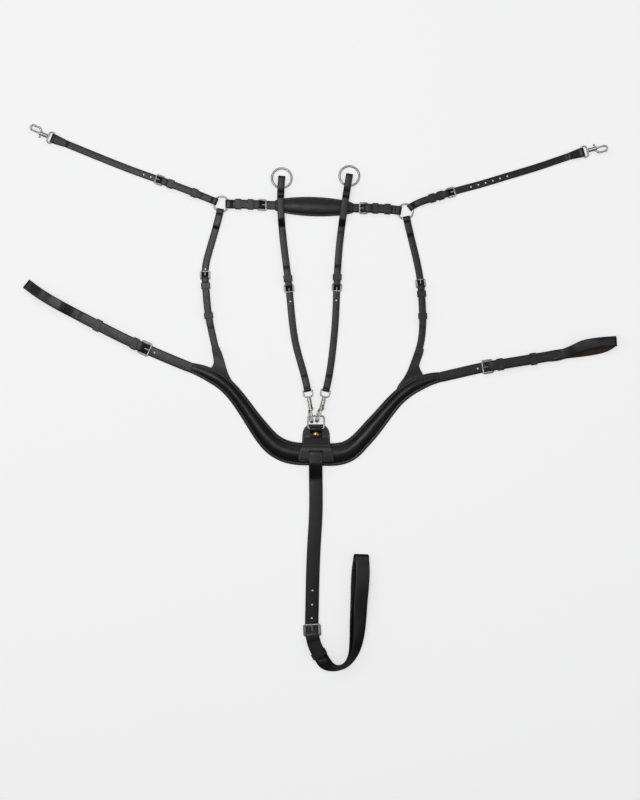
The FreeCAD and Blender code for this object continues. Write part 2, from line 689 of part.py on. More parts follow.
# ---- martingale fork ----
over_pad = wither_pad_height + 0.4


def fork_strap(side, route, heel, pad_from, pad_to, tip, holes, ring_at, roll):
    buckle = Buckle(route, fork, *heel, False)
    slack = 16.0
    eye = ring_eye(route, fork.width, fork.leather, martingale_ring_radius, martingale_ring_wire, head=1.5,
                   slack=slack, at=route.near(*ring_at))
    near_pad = route.near(*pad_from)
    off_pad = route.near(*pad_to)
    lifted = []
    for distance, high in ((near_pad - 1, 2 * fork.leather), (off_pad + 1, fork.leather)):
        lifted.append((distance, over_pad, over_pad + high, fork.width))
    ring_end = [row for row in eye.stations() if row[0] < near_pad - 14]
    settle = [(off_pad + 15, 0.0, fork.leather, fork.width)]
    doubled = buckle.chape_stations(30.0)
    chape = ring_end + lifted + settle + doubled
    end = route.length
    snap_eye = Eye(route, fork.width, fork.leather, end, end, snap_eye_wire, backwards=True,
                   base=fork_end_base)
    billet = buckle.billet_stations(tip)
    past = buckle.at(-36.0)
    billet = [row if row[0] > past else (row[0], fork.leather + ply_gap, 2 * fork.leather + ply_gap, row[3])
              for row in billet]
    billet.append((buckle.at(-30.0), 2 * fork.leather + ply_gap, 3 * fork.leather + ply_gap, fork.width))
    billet.append((past, fork.leather + ply_gap, 2 * fork.leather + ply_gap, fork.width))
    billet += snap_eye.stations(24.0)
    parts["fork_billet_" + side] = sewn_strap(route, billet, [snap_eye.nose()],
                                              buckle.billet_cuts(holes) + [snap_eye.cut()])
    parts["fork_chape_" + side] = chape_with_keepers(buckle, billet, (-12.5,), chape,
                                                     [buckle.chape_nose(), eye.nose()],
                                                     buckle.chape_cuts() + [eye.cut()])
    parts["fork_buckle_" + side] = buckle.metal()

    ring_frame = route.frame(route.near(*ring_at))
    ring_bar = skive + gap + martingale_ring_wire / 2
    lean = math.degrees(math.asin((ring_bar - martingale_ring_wire / 2 - 0.1) / (2 * martingale_ring_radius)))
    flat = ring(Vector(-martingale_ring_radius, 0, 0), martingale_ring_radius, martingale_ring_wire)
    flat.rotate(Vector(0, 0, 0), Vector(0, 1, 0), -lean)
    flat.translate(Vector(martingale_ring_radius, 0, ring_bar))
    parts["martingale_ring_" + side] = put(ring_frame, flat)

    start = route.frame(end, fork_end_base + snap_bar_height)
    away = start.Rotation.multVec(Vector(1, 0, 0))
    run = (start.Base.y - ring_top.y) / -away.y
    climb_height = ring_z + hook_lift - start.Base.z
    climb = math.degrees(math.atan2(climb_height, run))
    frame = start.multiply(Placement(Vector(), Rotation(Vector(0, 1, 0), -climb)))
    bend = math.hypot(run, climb_height) + fork_snap_slack
    pieces = snap(fork.width / 2 + 1.8, 12.5, 24.0, bend, fork_snap_offset)
    place_snap("fork_" + side, pieces, frame, roll)


fork_end_base = 2.0             # the snaps hold the strap ends off the floor
ring_top = ring_place + Vector(0, chest_ring_reach, ring_z)
hook_lift = snap_bolt + chest_ring_wire / 2 + 0.35
fork_strap("left", fork_left_route, (-50, 312), (-62, 478), (-62, 436), 102.0, (-92.0, -72.0, -52.0, 30.0),
           (-62.5, 510), 60.0)
fork_strap("right", fork_right_route, (39.8, 314), (56, 478), (51.5, 436), 98.0, (-88.0, -68.0, -48.0, 30.0),
           (62.5, 514), 60.0)


# ---- side girth straps ----
def girth_billet(side, route, heel, tip, holes):
    buckle = Buckle(route, side_girth, *heel, True)
    rows = buckle.billet_stations(tip) + [(0.4, 0.0, side_girth.leather, side_girth.width)]
    parts["girth_billet_" + side] = sewn_strap(route, rows, [], buckle.billet_cuts(holes))
    parts["girth_buckle_" + side] = buckle.metal()
    return buckle, rows


loop_gap = 6.5                  # how far a girth loop stands open
girth_height = 2 * side_girth.leather
buckle, rows = girth_billet("left", left_girth_route, (-323.5, 199.5), 128.0, (19.0 + 9.0, -9.0, -28.0, -47.0, -66.0))
loop_end = left_girth_route.length - 4.0
loop_start = buckle.at(-136.0)
loop_middle = (loop_start + loop_end) / 2
outer_rows = buckle.chape_stations() + [(loop_start, 0.0, girth_height, side_girth.width),
                                        (loop_middle - 18, 0.0, girth_height + loop_gap, side_girth.width),
                                        (loop_middle + 18, 0.0, girth_height + loop_gap, side_girth.width),
                                        (loop_end, 0.0, girth_height + 1.5, side_girth.width)]
inner_rows = [(loop_start + 8, side_girth.leather, side_girth.leather + 0.3, 24.0),
              (loop_middle - 18, side_girth.leather, side_girth.leather + loop_gap, 24.0),
              (loop_middle + 18, side_girth.leather, side_girth.leather + loop_gap, 24.0),
              (loop_end, side_girth.leather, side_girth.leather + 1.5, 24.0)]
end_height = girth_height + 1.5
loop_nose = cross_bar(left_girth_route.frame(loop_end), 0, 0, end_height / 2, end_height / 2, side_girth.width)
parts["girth_loop_left"] = chape_with_keepers(buckle, rows, (-11.5, -88.0), outer_rows,
                                              [buckle.chape_nose(), loop_nose],
                                              buckle.chape_cuts() + [strap(left_girth_route, inner_rows)])

buckle, rows = girth_billet("right", right_girth_route, (327, 163.5), 128.0, (19.0 + 9.0, -9.0, -28.0, -47.0, -66.0))
upper_route = Route([(430, 180.5), (460, 185.7), (478, 193.5), (492, 200), (510, 204.2), (530, 206.6), (549, 208)])
lower_route = Route([(430, 180.5), (460, 185.4), (475, 187.2), (490, 189), (505, 191), (519, 193.5), (533, 197.3),
                     (549, 206.5)])
fold_from = buckle.at(-118.0)
chape = strap(right_girth_route, buckle.chape_stations() + [(fold_from, 0.0, girth_height, side_girth.width)])
upper_length = upper_route.length
lower_length = lower_route.length
arch = 12.0
upper = strap(upper_route, [(0.0, side_girth.leather, girth_height, side_girth.width),
                            (28.0, side_girth.leather, girth_height, side_girth.width),
                            (62.0, side_girth.leather + arch * 0.8, girth_height + arch * 0.8, side_girth.width),
                            (96.0, side_girth.leather + arch, girth_height + arch, side_girth.width),
                            (upper_length, side_girth.leather + arch * 0.7, girth_height + arch * 0.7,
                             side_girth.width)])
lower = strap(lower_route, [(0.0, 0.0, side_girth.leather, side_girth.width),
                            (lower_length, 0.0, side_girth.leather, side_girth.width)])
nose_height = girth_height + arch * 0.7
nose_frame = upper_route.frame(upper_length)
nose = cross_bar(nose_frame, 0, 0, nose_height / 2, nose_height / 2, side_girth.width)
nose = nose.cut(cross_bar(nose_frame, 0, 0, nose_height / 2, nose_height / 2 - side_girth.leather, 40.0))
nose = nose.cut(box(nose_frame, -20, -0.01, -20, 20, -1, 40))
keepers = [buckle.keeper(step, rows) for step in (-14.0, -76.0)]
shape = chape.fuse([upper, lower, nose, buckle.chape_nose()])
for cut in buckle.chape_cuts() + keepers:
    shape = shape.cut(cut)
parts["girth_loop_right"] = group(shape, *keepers)


# ---- centre girth strap ----
buckle = Buckle(centre_girth_route, centre_girth, -5, -335, True)
slot_top = patch_base + patch_leather + ply_gap
rows = buckle.billet_stations(46.0)
rows += [(1.0, slot_top, slot_top + centre_girth.leather, centre_girth.width),
         (20.0, slot_top, slot_top + centre_girth.leather, centre_girth.width),
         (52.0, 0.0, centre_girth.leather, centre_girth.width)]
parts["centre_girth_strap"] = sewn_strap(centre_girth_route, rows, [], buckle.billet_cuts((32.0, 57.0, 83.0)))
parts["centre_girth_buckle"] = buckle.metal()


def ribbon(stations, width, thickness):
    """Leather through (centre, across, normal) stations in space."""
    wires = []
    for centre, across, normal in stations:
        half = across * (width / 2)
        up = normal * (thickness / 2)
        corners = [centre - half - up, centre + half - up, centre + half + up, centre - half + up]
        wires.append(Part.makePolygon(corners + corners[:1]))
    return Part.makeLoft(wires, True, True)


# (x, y, lean of the leather, half the gap between its layers, half their sideways shift)
loop_line = [(12, -378, 0, 0.03, 0.0), (22.5, -389, 42, 0.05, 0.0), (38, -394, 74, 0.1, 0.0),
             (54, -389.5, 76, 0.3, 0.0), (67, -374, 66, 0.8, 0.0), (74, -351, 46, 2.0, 0.0),
             (78, -312, 24, 4.0, 0.9), (80, -275, 11, 5.2, 1.8), (82, -240, 7, 5.3, 3.6),
             (83.5, -211, 8, 4.0, 3.6), (84.5, -190, 8, 2.0, 1.0)]
ply = centre_girth.leather
route_end = centre_girth_route.frame(centre_girth_route.length)
upper_line = []
lower_line = []
for index, (x, y, lean, half_gap, half_shift) in enumerate(loop_line):
    before = lay(*loop_line[max(index - 1, 0)][:2])
    after = lay(*loop_line[min(index + 1, len(loop_line) - 1)][:2])
    along = (after - before).normalize()
    if index == 0:
        along = route_end.Rotation.multVec(Vector(1, 0, 0))
    inward = Vector(-along.y, along.x, 0)
    tilt = math.radians(lean)
    across = inward * math.cos(tilt) + Vector(0, 0, math.sin(tilt))
    normal = Vector(0, 0, math.cos(tilt)) - inward * math.sin(tilt)
    apart = half_gap + ply / 2
    height = centre_girth.width / 2 * math.sin(tilt) + (apart + ply / 2) * math.cos(tilt)
    middle = lay(x, y, height)
    offset = normal * apart - across * half_shift
    upper_line.append((middle + offset, across, normal))
    lower_line.append((middle - offset, across, normal))
top_end, across, normal = upper_line[-1]
fold_centre = (top_end + lower_line[-1][0]) * 0.5
fold_radius = (top_end - fold_centre).dot(normal)
fold_shift = across * (top_end - fold_centre).dot(across)
along = across.cross(normal)
fold_line = []
for step in range(1, 6):
    angle = math.pi * step / 6
    outward = normal * (-math.cos(angle)) + along * math.sin(angle)
    place = fold_centre + outward * fold_radius - fold_shift * math.cos(angle)
    fold_line.append((place, across, outward * -1.0))
back_line = [(centre, across, normal * -1.0) for centre, across, normal in reversed(upper_line)]
loop = ribbon(lower_line + fold_line + back_line, centre_girth.width, ply)
sewn = strap(centre_girth_route, buckle.chape_stations() + [
    (centre_girth_route.length + 1.0, 0.0, 2 * ply + 0.06, centre_girth.width)])
keeper = buckle.keeper(-36.0, rows)
loop = loop.fuse([sewn, buckle.chape_nose()])
for cut in buckle.chape_cuts() + [keeper]:
    loop = loop.cut(cut)
parts["centre_girth_loop"] = group(loop, keeper)


os.makedirs("parts", exist_ok=True)
for name, shape in parts.items():
    if not shape.isValid():
        print("not valid:", name)
    shape.exportStep("parts/" + name + ".step")
print(len(parts), "nodes")
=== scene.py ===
import json
import math

import bpy
import numpy as np
from mathutils import Matrix, Vector, noise

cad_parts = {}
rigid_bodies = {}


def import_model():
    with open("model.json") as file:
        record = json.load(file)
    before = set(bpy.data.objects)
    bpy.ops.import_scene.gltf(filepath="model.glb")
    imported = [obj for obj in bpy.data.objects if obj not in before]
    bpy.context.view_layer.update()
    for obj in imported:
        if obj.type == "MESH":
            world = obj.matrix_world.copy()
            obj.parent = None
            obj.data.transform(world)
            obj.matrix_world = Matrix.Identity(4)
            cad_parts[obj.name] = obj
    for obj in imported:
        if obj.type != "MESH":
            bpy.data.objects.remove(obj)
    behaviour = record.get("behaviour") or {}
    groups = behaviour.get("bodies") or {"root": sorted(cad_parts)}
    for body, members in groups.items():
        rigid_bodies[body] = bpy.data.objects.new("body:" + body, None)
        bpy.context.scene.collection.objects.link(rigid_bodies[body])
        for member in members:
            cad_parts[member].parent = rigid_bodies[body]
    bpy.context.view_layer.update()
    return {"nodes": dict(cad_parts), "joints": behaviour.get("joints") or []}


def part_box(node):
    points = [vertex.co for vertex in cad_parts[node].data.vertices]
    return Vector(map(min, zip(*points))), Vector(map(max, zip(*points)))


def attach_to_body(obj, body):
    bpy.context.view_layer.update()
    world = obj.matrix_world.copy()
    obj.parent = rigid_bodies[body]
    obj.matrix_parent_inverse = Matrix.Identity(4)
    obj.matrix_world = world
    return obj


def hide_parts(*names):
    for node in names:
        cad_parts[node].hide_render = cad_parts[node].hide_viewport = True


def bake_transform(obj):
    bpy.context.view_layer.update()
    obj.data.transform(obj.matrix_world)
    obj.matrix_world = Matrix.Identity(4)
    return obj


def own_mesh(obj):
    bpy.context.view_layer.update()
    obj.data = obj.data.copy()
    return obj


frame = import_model()
nodes = frame["nodes"]
mm = 0.001
print("frame:", len(nodes), "nodes")


# shader maths
class Signal:
    # a number that varies over the surface; + - * / and max, min build Math nodes
    def __init__(self, finish, socket):
        self.finish = finish
        self.socket = socket

    def math(self, operation, first, second=None):
        values = {0: first} if second is None else {0: first, 1: second}
        return self.finish.node("ShaderNodeMath", {"operation": operation}, values)

    def __add__(self, other):
        return self.math("ADD", self, other)

    __radd__ = __add__

    def __mul__(self, other):
        return self.math("MULTIPLY", self, other)

    __rmul__ = __mul__

    def __sub__(self, other):
        return self.math("SUBTRACT", self, other)

    def __rsub__(self, other):
        return self.math("SUBTRACT", other, self)

    def __truediv__(self, other):
        return self.math("DIVIDE", self, other)

    def size(self):
        return self.math("ABSOLUTE", self)

    def clip(self):
        return self.math("MINIMUM", self.math("MAXIMUM", self, 0.0), 1.0)


class Finish:
    def __init__(self, name):
        self.material = bpy.data.materials.new(name)
        self.material.use_nodes = True
        self.tree = self.material.node_tree
        self.shader = self.tree.nodes["Principled BSDF"]
        self.place = self.node("ShaderNodeTexCoord", out="Object")
        self.run = self.node("ShaderNodeTexCoord", out="UV")

    def node(self, kind, settings=None, values=None, out=0):
        made = self.tree.nodes.new(kind)
        for key, value in (settings or {}).items():
            setattr(made, key, value)
        for key, value in (values or {}).items():
            self.plug(made.inputs[key], value)
        return Signal(self, made.outputs[out])

    def plug(self, socket, value):
        if isinstance(value, Signal):
            self.tree.links.new(value.socket, socket)
        else:
            socket.default_value = value

    def noise(self, scale, detail=3.0, rough=0.55, where=None):
        return self.node("ShaderNodeTexNoise", None, {"Vector": where or self.place, "Scale": scale,
                                                      "Detail": detail, "Roughness": rough})

    def cells(self, scale, feature):
        return self.node("ShaderNodeTexVoronoi", {"feature": feature},
                         {"Vector": self.place, "Scale": scale}, "Distance")

    def stretched(self, scale, turn=(0, 0, 0)):
        return self.node("ShaderNodeMapping", None, {"Vector": self.place, "Scale": scale, "Rotation": turn})

    def blendOf(self, share, first, second):
        made = self.tree.nodes.new("ShaderNodeMix")
        made.data_type = "RGBA"
        self.plug(made.inputs[0], share)
        for index, colour in ((6, first), (7, second)):
            self.plug(made.inputs[index], colour if isinstance(colour, Signal) else (*colour, 1))
        return Signal(self, made.outputs[2])

    def bump(self, height, strength, distance):
        return self.node("ShaderNodeBump", None,
                         {"Strength": strength, "Distance": distance, "Height": height})

    def finish(self, **values):
        for key, value in values.items():
            name = key.replace("_", " ")
            if isinstance(value, tuple):
                value = (*value, 1)
            self.plug(self.shader.inputs[name], value)
        return self.material


leatherLook = {
    "dark": (0.0050, 0.0044, 0.0053),
    "pale": (0.0118, 0.0106, 0.0124),
    "rubbed": (0.050, 0.047, 0.050),
    "creaseFrom": 0.15,             # 1.5 mm in from the edge
    "creaseHalf": 0.045,
    "pebble": 1150,                 # cells to the metre
    "grainDepth": 0.00016,
}


def makeGrainLeather(name, creased, padded=False):
    f = Finish(name)
    look = leatherLook
    pebble = f.cells(look["pebble"] * (0.8 if padded else 1.0), "SMOOTH_F1")
    valleys = f.cells(look["pebble"] * 0.55, "DISTANCE_TO_EDGE")
    fine = f.noise(5200, 2.0)
    blotch = f.noise(26, 4.0, 0.6)
    pull = f.noise(240, 3.0, 0.5, f.stretched((0.35, 1.0, 1.0), (0, 0, 0.5)))
    height = pebble * -0.55 + (valleys * 3.0).clip() * 0.35 + fine * 0.18 + pull * 0.5
    wear = 0.0
    if creased:
        parts = f.node("ShaderNodeSeparateXYZ", None, {"Vector": f.run}, 1)
        groove = (1.0 - (parts - look["creaseFrom"]).size() / look["creaseHalf"]).clip()
        height = height - groove * 1.6
        edge = (1.0 - parts / 0.075).clip() * (f.noise(150, 4.0, 0.65) * 2.2 - 0.75).clip()
        wear = edge * 0.55
        shine = (groove * 0.5 + edge * 0.3).clip()
    else:
        shine = (pull - 0.45).clip()
    tone = f.blendOf((blotch * 1.9 - 0.5).clip(), look["dark"], look["pale"])
    tone = f.blendOf(wear if creased else (pull * 2.0 - 1.15).clip() * 0.25, tone, look["rubbed"])
    rough = 0.34 + (blotch - 0.5) * 0.18 + (pebble * 0.10) - shine * 0.08
    f.finish(Base_Color=tone, Roughness=rough, Normal=f.bump(height, 0.55, look["grainDepth"]),
             Specular_IOR_Level=0.45, Coat_Weight=0.12, Coat_Roughness=0.24, Sheen_Weight=0.03,
             Sheen_Roughness=0.5)
    return f.material


def makeBurnishedEdge():
    f = Finish("burnishedEdge")
    fibre = f.noise(900, 4.0, 0.6, f.stretched((1.0, 1.0, 5.0)))
    tone = f.blendOf((fibre * 2.0 - 0.7).clip(), (0.006, 0.0055, 0.006), (0.022, 0.019, 0.019))
    f.finish(Base_Color=tone, Roughness=0.36 + fibre * 0.22, Normal=f.bump(fibre, 0.35, 0.00015),
             Specular_IOR_Level=0.4)
    return f.material


def makeFleshSide():
    f = Finish("fleshSide")
    nap = f.noise(1700, 5.0, 0.7)
    cloud = f.noise(60, 4.0, 0.6)
    fibre = f.noise(700, 3.0, 0.6, f.stretched((4.0, 1.0, 1.0), (0, 0, 0.3)))
    tone = f.blendOf((cloud * 1.7 - 0.35).clip(), (0.052, 0.028, 0.016), (0.125, 0.072, 0.043))
    tone = f.blendOf((fibre * 1.6 - 0.6).clip() * 0.5, tone, (0.035, 0.022, 0.015))
    f.finish(Base_Color=tone, Roughness=0.82 + nap * 0.12, Normal=f.bump(nap + fibre * 0.6, 0.7, 0.00035),
             Specular_IOR_Level=0.25, Sheen_Weight=0.25, Sheen_Roughness=0.6)
    return f.material


def makeThread(name, dark, pale):
    f = Finish(name)
    ply = f.node("ShaderNodeTexWave", {"wave_type": "BANDS", "bands_direction": "DIAGONAL"},
                 {"Vector": f.place, "Scale": 900.0, "Distortion": 1.5, "Detail": 1.0})
    fuzz = f.noise(2600, 2.0)
    tone = f.blendOf(fuzz, dark, pale)
    f.finish(Base_Color=tone, Roughness=0.62 + fuzz * 0.2, Normal=f.bump(ply + fuzz * 0.5, 0.5, 0.0001),
             Specular_IOR_Level=0.35)
    return f.material


def makeMetal(name, dark, bright, rough, brushed=0.0):
    f = Finish(name)
    haze = f.noise(320, 4.0, 0.6)
    spots = f.noise(2100, 3.0, 0.55)
    scratch = f.noise(2600, 2.0, 0.5, f.stretched((0.08, 1.0, 1.0), (0.3, 0.2, 0.9)))
    tone = f.blendOf((haze * 2.0 - 0.55).clip(), dark, bright)
    rubbed = (scratch * 3.0 - 1.75).clip()
    f.finish(Base_Color=tone, Metallic=1.0, Roughness=rough + haze * 0.10 + rubbed * 0.12 + brushed * spots,
             Normal=f.bump(scratch * 0.6 + spots * 0.4, 0.14, 0.00006))
    return f.material


grainLeather = makeGrainLeather("grainLeather", True)
smoothLeather = makeGrainLeather("smoothLeather", False)
paddedLeather = makeGrainLeather("paddedLeather", True, True)
burnishedEdge = makeBurnishedEdge()
fleshSide = makeFleshSide()
paleThread = makeThread("paleThread", (0.26, 0.25, 0.245), (0.44, 0.43, 0.41))
darkThread = makeThread("darkThread", (0.014, 0.013, 0.014), (0.032, 0.030, 0.031))
nickelPlate = makeMetal("nickelPlate", (0.66, 0.64, 0.605), (0.86, 0.84, 0.80), 0.34)
springSteel = makeMetal("springSteel", (0.34, 0.33, 0.32), (0.55, 0.54, 0.52), 0.24)
brassCap = makeMetal("brassCap", (0.55, 0.36, 0.12), (0.86, 0.62, 0.27), 0.17, 0.06)
for nodeName, node in nodes.items():
    if node.data.materials:
        metal = nickelPlate
        if "spring" in nodeName:
            metal = springSteel
        if nodeName == "emblem_stud":
            metal = brassCap
        for slot in node.material_slots:
            slot.material = metal
print("materials:", len(bpy.data.materials))


# small tools
def clearChoice():
    if bpy.context.object and bpy.context.object.mode != "OBJECT":
        bpy.ops.object.mode_set(mode="OBJECT")
    bpy.ops.object.select_all(action="DESELECT")


def choose(*pieces):
    clearChoice()
    for piece in pieces:
        piece.select_set(True)
    bpy.context.view_layer.objects.active = pieces[0]


def finishWith(piece, kind, **settings):
    choose(piece)
    step = piece.modifiers.new(kind.lower(), kind)
    for key, value in settings.items():
        setattr(step, key, value)
    bpy.ops.object.modifier_apply(modifier=step.name)


def joinAll(name, pieces):
    choose(*pieces)
    if len(pieces) > 1:
        bpy.ops.object.join()
    pieces[0].name = name
    pieces[0].data.name = name
    return pieces[0]


def settle(piece):
    choose(piece)
    bpy.ops.object.transform_apply(location=True, rotation=True, scale=True)


def editAll(piece, operator, **settings):
    choose(piece)
    bpy.ops.object.mode_set(mode="EDIT")
    bpy.ops.mesh.select_all(action="SELECT")
    operator(**settings)
    bpy.ops.object.mode_set(mode="OBJECT")


def bevel(piece, width, segments=2, degrees=50):
    finishWith(piece, "BEVEL", width=width * mm, segments=segments, limit_method="ANGLE",
               angle_limit=math.radians(degrees))


def markRuns(piece, marks):
    # UV holds the run along the piece and the distance in from its edge
    layer = piece.data.uv_layers[0]
    for loop in piece.data.loops:
        layer.data[loop.index].uv = marks[loop.vertex_index]


def placeCube(place):
    clearChoice()
    bpy.ops.mesh.primitive_cube_add(size=1)
    cube = bpy.context.object
    cube.matrix_world = place
    settle(cube)
    return cube


def facing(along):
    return Matrix((along, Vector((-along.y, along.x, 0)), Vector((0, 0, 1)))).transposed().to_4x4()


def give(piece, *materials):
    piece.data.materials.clear()
    for material in materials:
        piece.data.materials.append(material)


def smooth(piece, degrees=38):
    choose(piece)
    bpy.ops.object.shade_smooth_by_angle(angle=math.radians(degrees))


def attach(piece, body, replaced=()):
    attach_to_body(piece, body)
    if replaced:
        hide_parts(*replaced)


def ease(share):
    return share * share * (3 - 2 * share)


# lines the leather follows, in millimetres
class Route:
    def __init__(self, points):
        p = np.array(points, float)
        h = np.linalg.norm(np.diff(p, axis=0), axis=1)
        n = len(p)
        rows = np.zeros((n, n))
        goal = np.zeros((n, 2))
        for i in range(1, n - 1):
            rows[i, i - 1:i + 2] = 1 / h[i - 1], 2 * (1 / h[i - 1] + 1 / h[i]), 1 / h[i]
            goal[i] = 3 * ((p[i] - p[i - 1]) / h[i - 1] ** 2 + (p[i + 1] - p[i]) / h[i] ** 2)
        rows[0, 0] = rows[-1, -1] = 1
        goal[0] = self.endSlope(p[:4], h[:3])
        goal[-1] = -self.endSlope(p[::-1][:4], h[::-1][:3])
        m = np.linalg.solve(rows, goal)
        line = []
        for i in range(n - 1):
            for t in np.linspace(0, 1, 60, endpoint=False):
                line.append((2 * t ** 3 - 3 * t ** 2 + 1) * p[i] + (t ** 3 - 2 * t ** 2 + t) * h[i] * m[i]
                            + (3 * t ** 2 - 2 * t ** 3) * p[i + 1] + (t ** 3 - t ** 2) * h[i] * m[i + 1])
        line.append(p[-1])
        self.line = np.array(line)
        self.runs = np.concatenate(([0], np.cumsum(np.linalg.norm(np.diff(self.line, axis=0), axis=1))))
        self.length = self.runs[-1]

    def endSlope(self, p, h):
        t = np.concatenate(([0], np.cumsum(h)))
        slope = np.zeros(2)
        for i in range(len(p)):
            others = [j for j in range(len(p)) if j != i]
            scale = np.prod([t[i] - t[j] for j in others])
            slope += p[i] * sum(np.prod([-t[k] for k in others if k != j]) for j in others) / scale
        return slope

    def near(self, x, y):
        gaps = np.linalg.norm(self.line - (x, y), axis=1)
        return self.runs[int(gaps.argmin())]

    def flat(self, run):
        return np.array([np.interp(run, self.runs, self.line[:, k]) for k in (0, 1)])

    def along(self, run):
        run = min(max(run, 0.0), self.length)
        step = self.flat(min(run + 0.8, self.length)) - self.flat(max(run - 0.8, 0.0))
        return Vector((*(step / np.linalg.norm(step)), 0))

    def across(self, run):
        along = self.along(run)
        return Vector((-along.y, along.x, 0))

    def spot(self, run, side=0.0, height=0.0):
        over = min(run, 0.0) + max(run - self.length, 0.0)
        base = self.flat(min(max(run, 0.0), self.length))
        return Vector((*base, height)) + self.along(run) * over + self.across(run) * side


routes = {
    "wither": [(-174, 462), (-130, 461.5), (-99, 460.5), (-56, 459), (17, 456.5), (82, 454.5), (152, 450.5),
               (166, 448)],
    "neckLeft": [(-174, 462), (-183, 422), (-196, 377), (-204, 338), (-203, 311), (-199, 266), (-191, 222),
                 (-184, 192)],
    "neckRight": [(166, 448), (174, 411), (185, 366), (193.5, 322), (197, 278), (198, 238), (195, 208),
                  (188, 184)],
    "saddleLeft": [(-174, 462), (-214, 478.5), (-273, 501), (-332, 522), (-391, 545), (-450, 569),
                   (-486, 583.5)],
    "saddleRight": [(166, 448), (182, 460), (221, 474.5), (258, 486), (297, 496.5), (356, 514), (415, 532),
                    (462, 548), (494, 558)],
    "forkLeft": [(-62.5, 510), (-62, 420), (-57.5, 377), (-49.5, 312), (-44, 255), (-36, 201), (-21.5, 148),
                 (-14.8, 118)],
    "forkRight": [(62.5, 514), (56.5, 478), (50, 433), (43.5, 378), (39.5, 312), (36.5, 244), (31.5, 190),
                  (25.5, 147), (19.3, 118)],
    "girthLeft": [(-230, 159.5), (-273, 177), (-332, 203), (-391, 232), (-450, 262.5), (-510, 297),
                  (-535, 315.5)],
    "girthRight": [(230, 142), (267, 150.5), (312, 160.5), (356, 168), (401, 175.5), (460, 185.5)],
    "loopUpper": [(430, 180.5), (460, 185.7), (478, 193.5), (492, 200), (510, 204.2), (530, 206.6),
                  (549, 208)],
    "loopLower": [(430, 180.5), (460, 185.4), (475, 187.2), (490, 189), (505, 191), (519, 193.5),
                  (533, 197.3), (549, 206.5)],
    "girthCentre": [(0.5, 4), (0.5, -46), (0.5, -110), (-2, -155), (-5, -222), (-6.5, -289), (-6.5, -325),
                    (-3.5, -346), (3, -362.5), (12, -378)],
    "chest": [(-230, 159.5), (-192.5, 145), (-167.5, 128.5), (-143.5, 102.5), (-121, 71), (-99, 40.5),
              (-77, 17), (-54.5, 5), (-32, 0.5), (0, 0), (38, -0.5), (60, 5.5), (82, 23), (104.5, 48),
              (127, 75), (149, 100.5), (175, 121.5), (193.5, 131.5), (230, 142)],
}
routes = {name: Route(points) for name, points in routes.items()}
print("routes:", len(routes))


# strips of leather
camber = 0.017                  # how far worn leather bows up in the middle, as a share of its width
leatherEdge = 0.35              # rounding of a cut edge
longestStep = 2.4
tipLength = 9.0


def layStrip(name, rows, columns=6, materials=None, up=-1):
    # rows: (centre, across, width, thickness) in mm along the leather; the grain side is up at row up
    up = range(len(rows))[up] or 1
    if (rows[up][0] - rows[up - 1][0]).cross(rows[up][1]).z < 0:
        rows = [(centre, across * -1, width, thick) for centre, across, width, thick in rows]
    clearChoice()
    bpy.ops.mesh.primitive_grid_add(x_subdivisions=len(rows) - 1, y_subdivisions=columns, size=1)
    piece = bpy.context.object
    mesh = piece.data
    last = len(rows) - 1
    run = [0.0]
    for before, after in zip(rows, rows[1:]):
        run.append(run[-1] + (after[0] - before[0]).length)
    thickest = max(row[3] for row in rows)
    group = piece.vertex_groups.new(name="skive")
    marks = []
    for vertex in mesh.vertices:
        i = int(round((vertex.co.x + 0.5) * last))
        j = vertex.co.y + 0.5
        centre, across, width, thick = rows[i]
        ahead = rows[min(i + 1, last)][0] - rows[max(i - 1, 0)][0]
        face = ahead.cross(across).normalized()
        bulge = camber * width * (1 - (2 * j - 1) ** 2) * max(0.0, face.z)
        vertex.co = (centre + across * (width * (j - 0.5)) + face * bulge) * mm
        marks.append((run[i] * 0.01, width * (0.5 - abs(j - 0.5)) * 0.1))
        group.add([vertex.index], thick / thickest, "REPLACE")
    markRuns(piece, marks)
    give(piece, *(materials or (grainLeather, burnishedEdge, smoothLeather)))
    finishWith(piece, "SOLIDIFY", thickness=thickest * mm, offset=0, use_even_offset=False,
               vertex_group="skive", material_offset_rim=1, material_offset=2)
    bevel(piece, leatherEdge)
    piece.vertex_groups.clear()
    piece.name = name
    return piece


class Line:
    # one leather's middle line beside its route: run, height, width and thickness
    def __init__(self, route, width, leather):
        self.route = route
        self.width = width
        self.leather = leather
        self.rows = []

    def go(self, run, height, width=None, thick=None):
        width = width or self.width
        thick = thick or self.leather
        if self.rows:
            start = self.rows[-1]
            gap = math.hypot(run - start[0], height - start[1])
            count = max(1, math.ceil(gap / longestStep))
            for i in range(1, count):
                t = i / count
                self.rows.append((start[0] + (run - start[0]) * t, start[1] + (height - start[1]) * ease(t),
                                  start[2] + (width - start[2]) * t, start[3] + (thick - start[3]) * t))
        self.rows.append((run, height, width, thick))
        return self

    def fold(self, run, middle, radius, way, width=None, thick=None, down=False):
        for i in range(1, 8):
            angle = math.pi * i / 8 - math.pi / 2
            if down:
                angle = -angle
            self.rows.append((run + way * radius * math.cos(angle), middle + radius * math.sin(angle),
                              width or self.width, thick or self.leather))

    def fromTip(self, run, way, height):
        # starts at a rounded end that finishes at run
        for share in (1.0, 0.96, 0.88, 0.74, 0.55, 0.3, 0.0):
            here = self.width * max(0.16, math.sqrt(max(0.0, 1 - share ** 2.4)))
            self.rows.append((run + way * tipLength * (share - 1), height, here,
                              self.leather * (1 - 0.25 * share)))

    def stations(self):
        return [(self.route.spot(run, 0, height), self.route.across(run), width, thick)
                for run, height, width, thick in self.rows]


